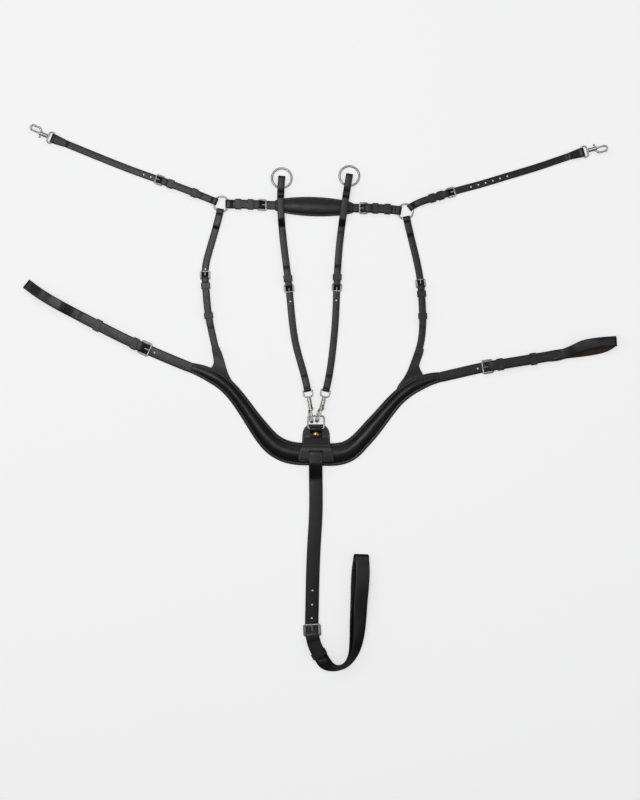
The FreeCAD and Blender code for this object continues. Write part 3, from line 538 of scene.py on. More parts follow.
straps = {                      # width, leather, wire, reach, pin
    "narrow": (13.0, 2.4, 2.4, 14.0, 1.0),
    "fork": (13.0, 2.4, 2.4, 12.5, 1.0),
    "wither": (16.0, 2.4, 2.4, 14.0, 1.0),
    "sideGirth": (19.0, 3.0, 3.0, 18.5, 1.2),
    "centreGirth": (25.0, 3.0, 3.4, 20.0, 1.3),
}
thinned = 1.4                   # leather thickness where it goes round a ring
play = 0.2
plyGap = 0.15                   # between straps that lie on each other
slotLength = 11.0


class Fastening:
    # a buckle on a route; steps go from its heel bar towards its far bar
    def __init__(self, routeName, kind, heel, backwards):
        self.route = routes[routeName]
        self.width, self.leather, self.wire, self.reach, self.pin = straps[kind]
        self.heel = self.route.near(*heel)
        self.way = -1 if backwards else 1
        self.foldHeight = 3.2 + self.wire
        self.upon = 2 * self.leather + plyGap

    def at(self, step):
        return self.heel + self.way * step

    def line(self, route=None):
        return Line(route or self.route, self.width, self.leather)

    def chapeToFold(self, doubled):
        # from the end beneath, round the heel bar and back
        line = self.line()
        half = self.leather / 2
        pressed = self.leather * 0.9
        line.go(self.at(-doubled), half * 0.9, thick=self.leather * 0.4)
        line.go(self.at(-doubled + 6), half, thick=self.leather * 0.94)
        line.go(self.at(0), half, thick=pressed)
        radius = (self.foldHeight - pressed) / 2
        line.fold(self.at(0), half + radius, radius, self.way, thick=pressed)
        line.go(self.at(0), half + 2 * radius, thick=pressed)
        line.go(self.at(-4.5), half + 2 * radius)
        return line.go(self.at(-10), 1.5 * self.leather + 0.03)

    def overBars(self, line):
        # over the heel bar and down under the far bar
        half = self.leather / 2
        line.go(self.at(-11), self.upon + half)
        line.go(self.at(-5), self.foldHeight + plyGap + half)
        line.go(self.at(1), self.foldHeight + plyGap + half)
        return line.go(self.at(self.reach - 0.3), half)

    def billetOver(self, tip):
        line = self.line()
        line.fromTip(self.at(-tip), -self.way, self.upon + self.leather / 2)
        return self.overBars(line)

    def slot(self, strip):
        # long hole for the pin, through the fold
        place = Matrix.Translation(self.route.spot(self.at(0.5), 0, self.foldHeight * 0.5 + 1.0) * mm)
        size = Matrix.Diagonal((slotLength * mm, (2 * self.pin + 1.0) * mm, (self.foldHeight + 3) * mm, 1))
        cutAway(strip, placeCube(place @ facing(self.route.along(self.at(1)) * self.way) @ size))


def cutAway(piece, cutter):
    finishWith(piece, "BOOLEAN", operation="DIFFERENCE", object=cutter, solver="EXACT")
    bpy.data.objects.remove(cutter)


punchLook = {"radius": 1.5, "long": 24}


def punch(piece, route, holes, height):
    # one punch, copied to every hole
    cutters = []
    for run in holes:
        clearChoice()
        if cutters:
            copy = cutters[0].copy()
            copy.data = cutters[0].data.copy()
            bpy.context.collection.objects.link(copy)
        else:
            bpy.ops.mesh.primitive_cylinder_add(vertices=20, radius=punchLook["radius"] * mm,
                                                depth=punchLook["long"] * mm)
            copy = bpy.context.object
        copy.location = route.spot(run, 0, height) * mm
        cutters.append(copy)
    for cutter in cutters:
        settle(cutter)
    cutAway(piece, joinAll("punch", cutters))


keeperLook = {"leather": 1.3, "length": 11.0, "side": 0.5, "round": 0.9, "edge": 0.3}


def makeKeeper(fastening, step):
    # a band sewn between the two layers, which goes over the billet
    look = keeperLook
    width = fastening.width + 2 * look["side"] + look["leather"]
    low = fastening.leather
    high = fastening.upon + fastening.leather + play + look["leather"] / 2
    band = placeCube(Matrix.Diagonal((look["length"] * mm, width * mm, (high - low) * mm, 1)))
    bpy.ops.object.mode_set(mode="EDIT")
    bpy.ops.mesh.select_mode(type="FACE")
    bpy.ops.mesh.select_all(action="DESELECT")
    bpy.ops.object.mode_set(mode="OBJECT")
    for face in band.data.polygons:
        face.select = abs(face.normal.x) > 0.9
    bpy.ops.object.mode_set(mode="EDIT")
    bpy.ops.mesh.delete(type="ONLY_FACE")
    bpy.ops.object.mode_set(mode="OBJECT")
    bevel(band, look["round"], 3, 40)
    give(band, smoothLeather, burnishedEdge)
    finishWith(band, "SOLIDIFY", thickness=look["leather"] * mm, offset=0, material_offset_rim=1)
    bevel(band, look["edge"], 2, 60)
    run = fastening.at(step)
    middle = fastening.route.spot(run, 0, (low + high) / 2) * mm
    band.matrix_world = Matrix.Translation(middle) @ facing(fastening.route.along(run))
    settle(band)
    return band


def finishChape(strip, fastening, keepers, body, node):
    name = strip.name
    fastening.slot(strip)
    smooth(strip)
    bands = [makeKeeper(fastening, step) for step in keepers]
    attach(joinAll(name, [strip] + bands), body, [node])


def makeBillet(name, line, fastening, holes, height, columns=6):
    billet = layStrip(name, line.stations(), columns, up=len(line.rows) // 2)
    punch(billet, fastening.route, [fastening.at(step) for step in holes], height)
    smooth(billet)
    return billet


class Eye:
    # where leather goes round a ring: nose at start, hollow to end
    def __init__(self, at, radius, wire, width, way, head=0.0, slack=0.0, base=0.0, bar=False):
        self.way = way
        self.base = base
        if bar:
            self.start = self.end = at
        else:
            self.start = at + way * (math.sqrt(radius ** 2 - (width / 2) ** 2) - 1.0 - slack)
            self.end = at + way * (radius + 1.0)
        self.inner = (wire + head) / 2 + play
        self.middle = base + thinned + self.inner

    def over(self, line, doubled=None, endWidth=None):
        # from the main run, over the top, round the nose and back beneath
        leather = line.leather
        wide = endWidth or line.width
        top = self.middle + self.inner + thinned / 2
        low = self.middle - self.inner - thinned / 2
        if doubled:
            line.go(self.end + self.way * 5.5, 1.5 * leather + 0.7 * self.base, wide, leather)
        line.go(self.end + self.way * 1.5, top, wide, thinned)
        line.go(self.start, top, wide, thinned)
        line.fold(self.start, self.middle, self.inner + thinned / 2, -self.way, wide, thinned, down=True)
        line.go(self.start, low, wide, thinned)
        line.go(self.end + self.way * 1.5, low, wide, thinned)
        if doubled:
            line.go(self.end + self.way * 5.5, 0.5 * leather + 0.7 * self.base, wide, leather)
            line.go(self.end + self.way * doubled, 0.5 * leather, thick=leather * 0.5)


# stitching
stitchLook = {"pitch": 3.0, "length": 2.3, "thick": 0.62, "step": 2.5, "lift": 0.1}


def sew(points, thread):
    # one stitch repeated along a line in space
    length = sum((b - a).length for a, b in zip(points, points[1:]))
    count = max(1, int(length / stitchLook["pitch"]))
    pitch = length / count
    guide = bpy.data.curves.new("seam", "CURVE")
    guide.dimensions = "3D"
    spline = guide.splines.new("POLY")
    spline.points.add(len(points) - 1)
    for knot, point in zip(spline.points, points):
        knot.co = (*(point * mm), 1)
    seam = bpy.data.objects.new("seam", guide)
    bpy.context.collection.objects.link(seam)
    clearChoice()
    bpy.ops.mesh.primitive_uv_sphere_add(segments=7, ring_count=5, radius=0.5)
    stitch = bpy.context.object
    stitch.rotation_euler = (0, math.pi / 2, 0)
    settle(stitch)
    stitch.scale = (stitchLook["length"] * mm, stitchLook["thick"] * mm, stitchLook["thick"] * mm)
    stitch.location = (pitch * mm / 2, 0, 0)
    settle(stitch)
    give(stitch, thread)
    finishWith(stitch, "ARRAY", count=count, use_relative_offset=False, use_constant_offset=True,
               constant_offset_displace=(pitch * mm, 0, 0))
    finishWith(stitch, "CURVE", object=seam, deform_axis="POS_X")
    bpy.data.objects.remove(seam)
    choose(stitch)
    bpy.ops.object.shade_smooth()
    return stitch


threads = {}


def sewOn(body, points, thread=paleThread):
    threads.setdefault(body, []).append(sew(points, thread))


def seamBeside(route, first, last, side, height):
    # points along a route at a given side and height; both may be functions of the run
    count = max(2, int(abs(last - first) / stitchLook["step"]))
    spots = []
    for i in range(count + 1):
        run = first + (last - first) * i / count
        spots.append(route.spot(run, side(run) if callable(side) else side,
                                height(run) if callable(height) else height))
    return spots


def sewBothEdges(body, fastening, firstStep, lastStep, height=None, inset=1.7, acrossAt=()):
    # seams on two layers of leather, unless another height is given
    route = fastening.route
    height = height or 2 * fastening.leather + stitchLook["lift"]
    for side in (-1, 1):
        sewOn(body, seamBeside(route, fastening.at(firstStep), fastening.at(lastStep),
                               side * (fastening.width / 2 - inset), height), darkThread)
    for step in acrossAt:
        run = fastening.at(step)
        half = fastening.width / 2 - inset
        level = height(run) if callable(height) else height
        sewOn(body, [route.spot(run, -half, level), route.spot(run, half, level)], darkThread)


def sewBetween(body, fastening, keepers, end=None):
    # from the fold to each keeper, and on to the end where there is one
    starts = [8.5] + [-step + 7 for step in keepers]
    stops = [-step - 7 for step in keepers] + ([end] if end else [])
    for first, last in zip(starts, stops):
        if last - first > 6:
            sewBothEdges(body, fastening, -first, -last)


def sewDoubledEnd(body, fastening, end, first, last, height=None):
    # across and along the strap's doubled end, which lies end from the heel bar
    sewBothEdges(body, fastening, end - first, end - last, height, acrossAt=(end - last,))


# wither strap, neck straps, saddle straps
neckRing = {"radius": 14.0, "wire": 3.0}
witherLook = {
    "left": {"heel": (-105.5, 461), "backwards": False},
    "right": {"heel": (95.5, 454), "backwards": True},
    "keepers": (-14.5, -37.0), "tip": 47.0, "holes": (-26.0,),
}


def doubledBand(name, fastening, eye, keepers, body, node):
    # chape between a ring and a buckle, both ends folded and the join in the middle of the underside
    far = abs(fastening.heel - eye.end)
    line = fastening.chapeToFold(far / 2)
    line.go(fastening.at(-far / 2), 1.5 * fastening.leather + 0.02)
    eye.over(line, far / 2 - 0.6)
    strip = layStrip(name, line.stations(), up=int(len(line.rows) * 0.5))
    finishChape(strip, fastening, keepers, body, node)
    sewBetween(body, fastening, keepers, far - 8)


fastenings = {}
for side in ("left", "right"):
    hold = Fastening("wither", "wither", witherLook[side]["heel"], witherLook[side]["backwards"])
    fastenings["wither" + side] = hold
    eye = Eye(0.0 if side == "left" else hold.route.length, neckRing["radius"], neckRing["wire"], hold.width,
              hold.way)
    doubledBand("witherChape" + side.title(), hold, eye, witherLook["keepers"], "breastplate",
                "wither_chape_" + side)
line, other = [fastenings["wither" + side].billetOver(witherLook["tip"]) for side in ("left", "right")]
line.go(*other.rows[-1])
line.rows += other.rows[-2::-1]
witherStrap = layStrip("witherStrap", line.stations(), up=len(line.rows) // 2)
for side in ("left", "right"):
    hold = fastenings["wither" + side]
    punch(witherStrap, hold.route, [hold.at(step) for step in witherLook["holes"]], 7.0)
smooth(witherStrap)
attach(witherStrap, "breastplate", ["wither_strap"])
print("wither strap made")

neckStraps = {
    "left": {"heel": (-203.5, 323.5), "keepers": (-13.0, -68.0), "tip": 92.0,
             "holes": (18.5, -6.5, -20.5, -35.0, -49.0)},
    "right": {"heel": (194.5, 308.5), "keepers": (-13.0, -54.0), "tip": 76.0,
              "holes": (-6.5, -20.5, -35.0)},
}


def sewnEye(line, eye, doubled, endWidth=None):
    # the strap comes down to its doubled end, goes round the ring and back beneath
    line.go(eye.end + eye.way * (doubled + 6), 0.5 * line.leather)
    line.go(eye.end + eye.way * doubled, 1.5 * line.leather)
    eye.over(line, doubled, endWidth)


for side, look in neckStraps.items():
    routeName = "neck" + side.title()
    hold = Fastening(routeName, "narrow", look["heel"], True)
    eye = Eye(0.0, neckRing["radius"], neckRing["wire"], hold.width, 1)
    line = hold.billetOver(look["tip"])
    sewnEye(line, eye, 26.0)
    billet = makeBillet("neckBillet" + side.title(), line, hold, look["holes"], 5.0)
    attach(billet, "breastplate", ["neck_billet_" + side])
    sewDoubledEnd("breastplate", hold, hold.heel - eye.end, 6.5, 25)
    doubled = 12.0 - look["keepers"][-1]
    line = hold.chapeToFold(doubled)
    line.go(hold.at(-doubled), 1.5 * hold.leather + 0.02)
    line.go(hold.at(-doubled - 6), 0.5 * hold.leather)
    line.go(hold.route.length, 0.5 * hold.leather)
    chape = layStrip("neckChape" + side.title(), line.stations(), up=-2)
    finishChape(chape, hold, look["keepers"], "breastplate", "neck_chape_" + side)
    sewBetween("breastplate", hold, look["keepers"])
print("neck straps made")

saddleStraps = {
    "left": {"heel": (-282, 504.5), "keepers": (-15.0, -62.0), "tip": 78.0,
             "holes": (24.0, 38.0, -30.0, -44.0)},
    "right": {"heel": (243.5, 481.5), "keepers": (-13.0, -29.0), "tip": 62.0,
              "holes": (46.0, 60.0, 74.0, 88.0, 102.0, 116.0)},
}
snapEye = {"wire": 2.6, "width": 17.0}
for side, look in saddleStraps.items():
    hold = Fastening("saddle" + side.title(), "narrow", look["heel"], False)
    body = "saddle_" + side
    eye = Eye(0.0, neckRing["radius"], neckRing["wire"], hold.width, 1)
    doubledBand("saddleChape" + side.title(), hold, eye, look["keepers"], body, "saddle_chape_" + side)
    end = hold.route.length
    snap = Eye(end, 0, snapEye["wire"], hold.width, -1, bar=True)
    line = hold.billetOver(look["tip"])
    sewnEye(line, snap, 26.0, snapEye["width"])
    billet = makeBillet("saddleBillet" + side.title(), line, hold, look["holes"], 5.0)
    attach(billet, body, ["saddle_billet_" + side])
    sewDoubledEnd(body, hold, end - hold.heel, 6.5, 25)
print("saddle straps made")

# martingale fork
forkLook = {
    "ringRadius": 18.2, "ringWire": 3.8, "overPad": 8.4, "keeper": -12.5, "doubled": 30.0, "endBase": 2.0,
    "left": {"heel": (-50, 312), "near": (-62, 478), "off": (-62, 436), "tip": 102.0,
             "holes": (-92.0, -72.0, -52.0, 30.0), "ring": (-62.5, 510)},
    "right": {"heel": (39.8, 314), "near": (56, 478), "off": (51.5, 436), "tip": 98.0,
              "holes": (-88.0, -68.0, -48.0, 30.0), "ring": (62.5, 514)},
}
for side in ("left", "right"):
    look = forkLook[side]
    hold = Fastening("fork" + side.title(), "fork", look["heel"], False)
    body = "fork_" + side
    half = hold.leather / 2
    nearPad = hold.route.near(*look["near"])
    offPad = hold.route.near(*look["off"])
    overPad = forkLook["overPad"]
    doubled = forkLook["doubled"]
    eye = Eye(hold.route.near(*look["ring"]), forkLook["ringRadius"], forkLook["ringWire"], hold.width, 1,
              1.5, 16.0)
    line = hold.chapeToFold(doubled)
    line.go(hold.at(-doubled), 3 * half + 0.02)
    line.go(hold.at(-doubled - 6), half)
    line.go(offPad + 17, half)
    line.go(offPad + 1, overPad + half)
    line.go(nearPad + 6, overPad + half)
    line.go(nearPad - 1, overPad + 3 * half)
    upRow = len(line.rows) - 2
    eye.over(line)
    line.go(nearPad - 2, overPad + half)
    line.go(nearPad + 4, overPad + half * 0.6, thick=hold.leather * 0.35)
    chape = layStrip("forkChape" + side.title(), line.stations(), up=upRow)
    finishChape(chape, hold, [forkLook["keeper"]], body, "fork_chape_" + side)
    sewDoubledEnd(body, hold, 0, 20, 29)
    sewBothEdges(body, hold, nearPad + 2 - hold.heel, nearPad - 5 - hold.heel,
                 overPad + 2 * hold.leather - 0.4)
    low = hold.leather + plyGap + half
    line = hold.line()
    line.fromTip(hold.at(-look["tip"]), -1, low)
    line.go(hold.at(-36), low)
    line.go(hold.at(-30), hold.upon + half)
    hold.overBars(line)
    end = hold.route.length
    snap = Eye(end, 0, snapEye["wire"], hold.width, -1, base=forkLook["endBase"], bar=True)
    sewnEye(line, snap, 24.0)
    billet = makeBillet("forkBillet" + side.title(), line, hold, look["holes"], 4.0)
    attach(billet, body, ["fork_billet_" + side])
    sewDoubledEnd(body, hold, end - hold.heel, 7, 23, lambda run: 2 * hold.leather + stitchLook["lift"]
                  + forkLook["endBase"] * 0.7 * max(0, 1 - (end - run) / 24))
print("fork made")

# girth straps
girthLook = {
    "left": {"heel": (-323.5, 199.5), "keepers": (-11.5, -88.0)},
    "right": {"heel": (327, 163.5), "keepers": (-14.0, -76.0)},
    "tip": 128.0, "holes": (28.0, -9.0, -28.0, -47.0, -66.0), "opening": 6.5, "arch": 12.0,
    # distance from the tip and to the side
    "tipSeam": [(16, 6.2), (8.0, 5.6), (3.4, 2.6), (2.4, 0.0), (3.4, -2.6), (8.0, -5.6), (16, -6.2)],
}


def girthChape(side, hold, rows, up, seamAt):
    strip = layStrip("girthLoop" + side.title(), rows, up=up,
                     materials=(grainLeather, burnishedEdge, fleshSide))
    finishChape(strip, hold, girthLook[side]["keepers"], "girth_" + side, "girth_loop_" + side)
    sewOn("girth_" + side, [hold.route.spot(seamAt, across, 6.1) for across in (-7.5, 7.5)], darkThread)


for side in ("left", "right"):
    look = girthLook[side]
    hold = Fastening("girth" + side.title(), "sideGirth", look["heel"], True)
    half = hold.leather / 2
    fastenings["girth" + side] = hold
    line = hold.billetOver(girthLook["tip"])
    line.go(8.0, half)
    line.go(0.4, half + 0.4, hold.width - 0.6, hold.leather * 0.9)
    line.go(-12.0, 2.6, hold.width - 3.0, 1.2)
    billet = makeBillet("girthBillet" + side.title(), line, hold, girthLook["holes"], 5.0)
    hold.route.spot(-1.5, 0, 3) * mm
    hold.route.spot(7.0, 0, 3) * mm
    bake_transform(billet)
    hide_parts("girth_billet_" + side)
    level = hold.upon + hold.leather + 0.1
    sewOn("girth_" + side, [hold.route.spot(hold.at(-girthLook["tip"] + back), across, level)
                            for back, across in girthLook["tipSeam"]])

hold = fastenings["girthleft"]
half = hold.leather / 2
loopEnd = hold.route.length - 4.0
loopStart = hold.at(-136)
loopMiddle = (loopStart + loopEnd) / 2
line = hold.chapeToFold(60)
line.go(loopStart, 3 * half)
upRow = len(line.rows) - 2
opened = hold.leather + girthLook["opening"] + half
line.go(loopMiddle - 18, opened)
line.go(loopMiddle, opened + 0.6)
line.go(loopMiddle + 18, opened - 0.4)
noseHeight = 2 * hold.leather + 1.5
line.go(loopEnd, noseHeight - half)
line.fold(loopEnd, noseHeight / 2, noseHeight / 2 - half, 1, down=True)
line.go(loopEnd, half)
line.go(hold.at(-61), half)
girthChape("left", hold, line.stations(), upRow, loopStart)

hold = fastenings["girthright"]
join = hold.route.near(430, 180.5)
upper = routes["loopUpper"]
lower = routes["loopLower"]
arch = girthLook["arch"]
line = hold.chapeToFold(60)
line.go(join, 3 * half)
rows = line.stations()
upRow = len(rows) - 2
line = hold.line(upper)
for run, rise in ((2.4, 0), (24, 0), (62, 0.8), (96, 1), (upper.length, 0.7)):
    line.go(run, 3 * half + arch * rise)
noseHeight = 2 * hold.leather + arch * 0.7
line.fold(upper.length, noseHeight / 2, noseHeight / 2 - half, 1, down=True)
rows += line.stations()
for route, first, last in ((lower, lower.length, 2.4), (hold.route, join, hold.at(-61))):
    line = hold.line(route)
    line.go(first, half)
    line.go(last, half)
    rows += line.stations()
girthChape("right", hold, rows, upRow, join - 1)
print("side girth straps made")

# centre girth strap
centreLook = {
    "heel": (-5, -335), "tip": 46.0, "holes": (32.0, 57.0, 83.0), "keeper": -36.0, "patchTop": 11.5,
    # x, y, lean, half the gap, half the sideways shift of the two layers
    "loop": [(12, -378, 0, 0.03, 0), (22.5, -389, 42, 0.05, 0), (38, -394, 74, 0.1, 0),
             (54, -389.5, 76, 0.3, 0), (67, -374, 66, 0.8, 0), (74, -351, 46, 2.0, 0),
             (78, -312, 24, 4.0, 0.9), (80, -275, 11, 5.2, 1.8), (82, -240, 7, 5.3, 3.6),
             (83.5, -211, 8, 4.0, 3.6), (84.5, -190, 8, 2.0, 1.0)],
}
hold = Fastening("girthCentre", "centreGirth", centreLook["heel"], True)
half = hold.leather / 2
top = centreLook["patchTop"]
line = hold.billetOver(centreLook["tip"])
line.go(52, half)
line.go(20, top + half)
line.go(2.0, top + half)
line.go(0.0, top + half - 0.5)
line.go(-1.3, top + half - 2.4, thick=2.2)
line.go(-1.8, top + half - 3.6, thick=2.0)
centreStrap = makeBillet("centreGirthStrap", line, hold, centreLook["holes"], 3.0, 8)
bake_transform(centreStrap)
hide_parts("centre_girth_strap")
level = top + hold.leather + 0.08
for side in (-10.4, 10.4):
    sewOn("girth_centre", seamBeside(hold.route, 4.2, 18.5, side, level))
for run in (4.2, 18.5):
    sewOn("girth_centre", [hold.route.spot(run, -10.4, level), hold.route.spot(run, 10.4, level)])

loopRoute = Route([place[:2] for place in centreLook["loop"]])
knots = [loopRoute.near(place[0], place[1]) for place in centreLook["loop"]]
runs = np.arange(0.0, loopRoute.length, longestStep)
runs[-1] = loopRoute.length
facts = []
for column in (2, 3, 4):
    values = np.interp(runs, knots, [place[column] for place in centreLook["loop"]])
    padded = np.concatenate((np.full(5, values[0]), values, np.full(5, values[-1])))
    facts.append(np.convolve(padded, np.ones(11) / 11, "valid"))
upperRows = []
lowerRows = []
for run, lean, gap, shift in zip(runs, *facts):
    inward = loopRoute.across(run)
    tilt = math.radians(lean)
    across = inward * math.cos(tilt) + Vector((0, 0, math.sin(tilt)))
    normal = Vector((0, 0, math.cos(tilt))) - inward * math.sin(tilt)
    apart = gap + half
    height = hold.width / 2 * math.sin(tilt) + (apart + half) * math.cos(tilt)
    middle = loopRoute.spot(run, 0, height)
    offset = normal * apart - across * shift
    upperRows.append((middle + offset, across, hold.width, hold.leather))
    lowerRows.append((middle - offset, across, hold.width, hold.leather))
foldRows = []
foldMiddle = (upperRows[-1][0] + lowerRows[-1][0]) / 2
foldReach = upperRows[-1][0] - foldMiddle
foldAlong = loopRoute.along(loopRoute.length)
for i in range(1, 8):
    angle = math.pi * i / 8
    around = foldReach * math.cos(angle) + foldAlong * foldReach.length * math.sin(angle)
    foldRows.append((foldMiddle + around, across, hold.width, hold.leather))
line = hold.chapeToFold(24)
line.go(hold.route.length - 2, 3 * half + 0.05)
rows = line.stations()
upRow = len(rows) - 2
rows += upperRows[1:] + foldRows + lowerRows[:0:-1]
line = hold.line()
line.go(hold.route.length - 2, half)
line.go(hold.at(-25), half)
rows += line.stations()
loop = layStrip("centreGirthLoop", rows, columns=8, up=upRow)
finishChape(loop, hold, [centreLook["keeper"]], "girth_centre", "centre_girth_loop")
sewBothEdges("girth_centre", hold, -9.5, -29, inset=2.2)
print("centre girth strap made")

# chest piece
chestLook = {
    "lining": 1.6, "rim": 1.2, "edge": 3.6, "crown": 8.6, "margin": 4.6, "seam": 3.1, "groove": 0.35,
    "branchTop": 4.2, "branchLift": 0.9, "branchDip": 0.95, "stitchLift": 0.16,
    "widths": [((-230, 159.5), 19), ((-210, 152), 24), ((-190, 144), 27.5), ((-143.5, 102.5), 28.5),
               ((-121, 71), 31), ((-99, 40.5), 36), ((-77, 17), 39.5), ((-54.5, 5), 41.5), ((0, 0), 42.5),
               ((38, -0.5), 42), ((60, 5.5), 40), ((82, 23), 35.5), ((104.5, 48), 34.5), ((127, 75), 30.5),
               ((149, 100.5), 28), ((193.5, 131.5), 27), ((215.5, 138), 22.5), ((230, 142), 19)],
    "leftBranch": ([(-192, 199), (-188.5, 175), (-189, 166), (-196, 156), (-190, 140)],
                   [(-178.5, 199), (-169, 174), (-157, 140), (-148, 124), (-150, 110)]),
    "rightBranch": ([(187, 199), (177, 172), (163, 141), (150, 121), (150, 108)],
                    [(200, 195), (194, 172), (192, 162), (199, 146), (193, 132)]),
}
chest = routes["chest"]
widthRuns = [chest.near(*place) for place, width in chestLook["widths"]]


def chestWidth(run):
    return float(np.interp(run, widthRuns, [width for place, width in chestLook["widths"]]))


def crowned(inFrom, half, edge, crown, margin, groove, seam):
    # height of a padded strip at a distance in from its edge: flat seam allowance, sewn line, then the swell
    dip = groove * math.exp(-((inFrom - seam) / 0.8) ** 2)
    if inFrom <= margin:
        return edge - dip
    share = min(1.0, (inFrom - margin) / max(half - margin, 0.1))
    return edge + (crown - edge) * math.sin(share * math.pi / 2) ** 0.75 - dip


def chestTop(run, side):
    look = chestLook
    half = (chestWidth(run) - 2 * look["rim"]) / 2
    fromTip = min(run, chest.length - run)
    swell = min(1.0, max(0.0, fromTip - 4) / 50)
    crown = look["edge"] + 0.6 + (look["crown"] - look["edge"] - 0.6) * swell * chestWidth(run) / 42.5
    underPatch = math.exp(-((run - chest.near(1, 0)) / 26) ** 4)
    crown -= 0.5 * underPatch
    soft = noise.noise(Vector((run * 0.035, side * 0.11, 3.1))) * 0.35 * swell
    soft += noise.noise(Vector((run * 0.11, side * 0.05, 9.4))) * 0.14 * swell
    return crowned(half - abs(side), half, look["edge"], crown + soft, look["margin"], look["groove"],
                   look["seam"])


def makePadded(name, route, first, last, widthAt, topAt, floor, step=3.0):
    count = int((last - first) / step)
    clearChoice()
    bpy.ops.mesh.primitive_grid_add(x_subdivisions=count, y_subdivisions=22, size=1)
    piece = bpy.context.object
    mesh = piece.data
    places = {}
    for vertex in mesh.vertices:
        run = first + (last - first) * (vertex.co.x + 0.5)
        half = widthAt(run) / 2
        share = vertex.co.y * 2
        # close rows near the sewn line, wider ones over the swell
        inFrom = float(np.interp(1 - abs(share), [0, 0.1, 0.2, 0.3, 0.4, 1.0], [0, 1.3, 2.5, 3.3, 4.4, half]))
        inFrom = min(inFrom, half)
        side = math.copysign(half - inFrom, share) if abs(share) > 1e-6 else 0.0
        vertex.co = route.spot(run, side, floor) * mm
        places[(round(vertex.co.x, 7), round(vertex.co.y, 7))] = (run, side, half)
    editAll(piece, bpy.ops.mesh.extrude_region_move, TRANSFORM_OT_translate={"value": (0, 0, mm)})
    marks = {}
    for vertex in mesh.vertices:
        run, side, half = places[(round(vertex.co.x, 7), round(vertex.co.y, 7))]
        if vertex.co.z > (floor + 0.5) * mm:
            vertex.co.z = topAt(run, side) * mm
        marks[vertex.index] = (run * 0.01, (half - abs(side)) * 0.1)
    markRuns(piece, marks)
    editAll(piece, bpy.ops.mesh.normals_make_consistent, inside=False)
    give(piece, paddedLeather, burnishedEdge)
    for face in mesh.polygons:
        if abs(face.normal.z) < 0.3:
            face.material_index = 1
    bevel(piece, 0.5, 3)
    finishWith(piece, "SUBSURF", levels=1, render_levels=1)
    smooth(piece, 50)
    piece.name = name
    return piece


chestOuter = makePadded("chestOuter", chest, 0.6, chest.length - 0.6,
                        lambda run: chestWidth(run) - 2 * chestLook["rim"], chestTop, chestLook["lining"])
attach(chestOuter, "breastplate", ["chest_outer", "chest_padding"])


def chestSeam(side, first, last):
    def beside(run):
        return side * ((chestWidth(run) - 2 * chestLook["rim"]) / 2 - chestLook["seam"])
    return seamBeside(chest, first, last, beside,
                      lambda run: chestTop(run, beside(run)) + chestLook["stitchLift"])


patchRuns = (chest.near(-27, 0), chest.near(30, 0))
for side in (-1, 1):
    sewOn("breastplate", chestSeam(side, 5, patchRuns[0]))
    sewOn("breastplate", chestSeam(side, patchRuns[1], chest.length - 5))
for run in (5.0, chest.length - 5.0):
    half = (chestWidth(run) - 2 * chestLook["rim"]) / 2 - chestLook["seam"]
    sewOn("breastplate", [chest.spot(run, side, chestTop(run, side) + chestLook["stitchLift"])
                          for side in (-half, 0, half)])


def layPlate(name, left, right, topAt, thick, rows, columns):
    # a flat piece between two edge lines, its top at topAt(share, x, y)
    leftLine = Route(left)
    rightLine = Route(right)
    clearChoice()
    bpy.ops.mesh.primitive_grid_add(x_subdivisions=rows, y_subdivisions=columns, size=1)
    piece = bpy.context.object
    marks = []
    for vertex in piece.data.vertices:
        share = vertex.co.x + 0.5
        over = vertex.co.y + 0.5
        a = leftLine.flat(share * leftLine.length)
        b = rightLine.flat(share * rightLine.length)
        wide = np.linalg.norm(b - a)
        place = a + (b - a) * over
        ends = min(share, 1 - share) * leftLine.length
        marks.append((share * leftLine.length * 0.01, min(wide * min(over, 1 - over), ends + 1.0) * 0.1))
        vertex.co = (place[0] * mm, place[1] * mm, (topAt(share, place[0], place[1]) - thick / 2) * mm)
    markRuns(piece, marks)
    if piece.data.polygons[0].normal.z < 0:
        piece.data.flip_normals()
    give(piece, grainLeather, burnishedEdge, smoothLeather)
    finishWith(piece, "SOLIDIFY", thickness=thick * mm, offset=0, material_offset_rim=1, material_offset=2)
    bevel(piece, leatherEdge)
    smooth(piece)
    piece.name = name
    return piece


def branchTop(share):
    # over the end of the neck strap first, then down under the edge of the chest leather
    over = 1 - ease(min(1.0, share / 0.3))
    under = ease(min(1.0, max(0.0, share - 0.45) / 0.3))
    return chestLook["branchTop"] + chestLook["branchLift"] * over - chestLook["branchDip"] * under


lining = [layStrip("chestLining", [(chest.spot(run, 0, 0.8), chest.across(run), chestWidth(run), 1.6)
                                   for run in np.linspace(0, chest.length, 200)])]
for side in ("left", "right"):
    leftEdge, rightEdge = chestLook[side + "Branch"]
    lining.append(layPlate("branchLining", leftEdge, rightEdge, lambda share, x, y: 1.55, 1.5, 24, 6))
    branch = layPlate(side + "Branch", leftEdge, rightEdge, lambda share, x, y: branchTop(share), 1.9,
                      40, 10)
    smooth(branch)
    attach(branch, "breastplate")
    leftLine = Route(leftEdge)
    rightLine = Route(rightEdge)
    box = []
    for share in (0.035, 0.11):
        a = leftLine.flat(share * leftLine.length)
        b = rightLine.flat(share * rightLine.length)
        box.append([Vector((*(a + (b - a) * over), branchTop(share) + 0.1)) for over in (0.2, 0.8)])
    for seam in box + list(zip(*box)):
        sewOn("breastplate", seam)
lining = joinAll("chestLining", lining)
attach(lining, "breastplate", ["chest_lining"])
print("chest made")

# wither pad
padLook = {"from": (-74.5, 459), "to": (68.5, 455), "under": 2.55, "floor": 4.15, "edge": 5.75,
           "crown": 8.0, "ends": 6.4, "seam": 2.6, "margin": 3.8, "endWidth": 17, "swell": 18.5}
wither = routes["wither"]
padStart = wither.near(*padLook["from"])
padEnd = wither.near(*padLook["to"])


def padShare(run):
    return min(1.0, max(0.0, (run - padStart) / (padEnd - padStart)))


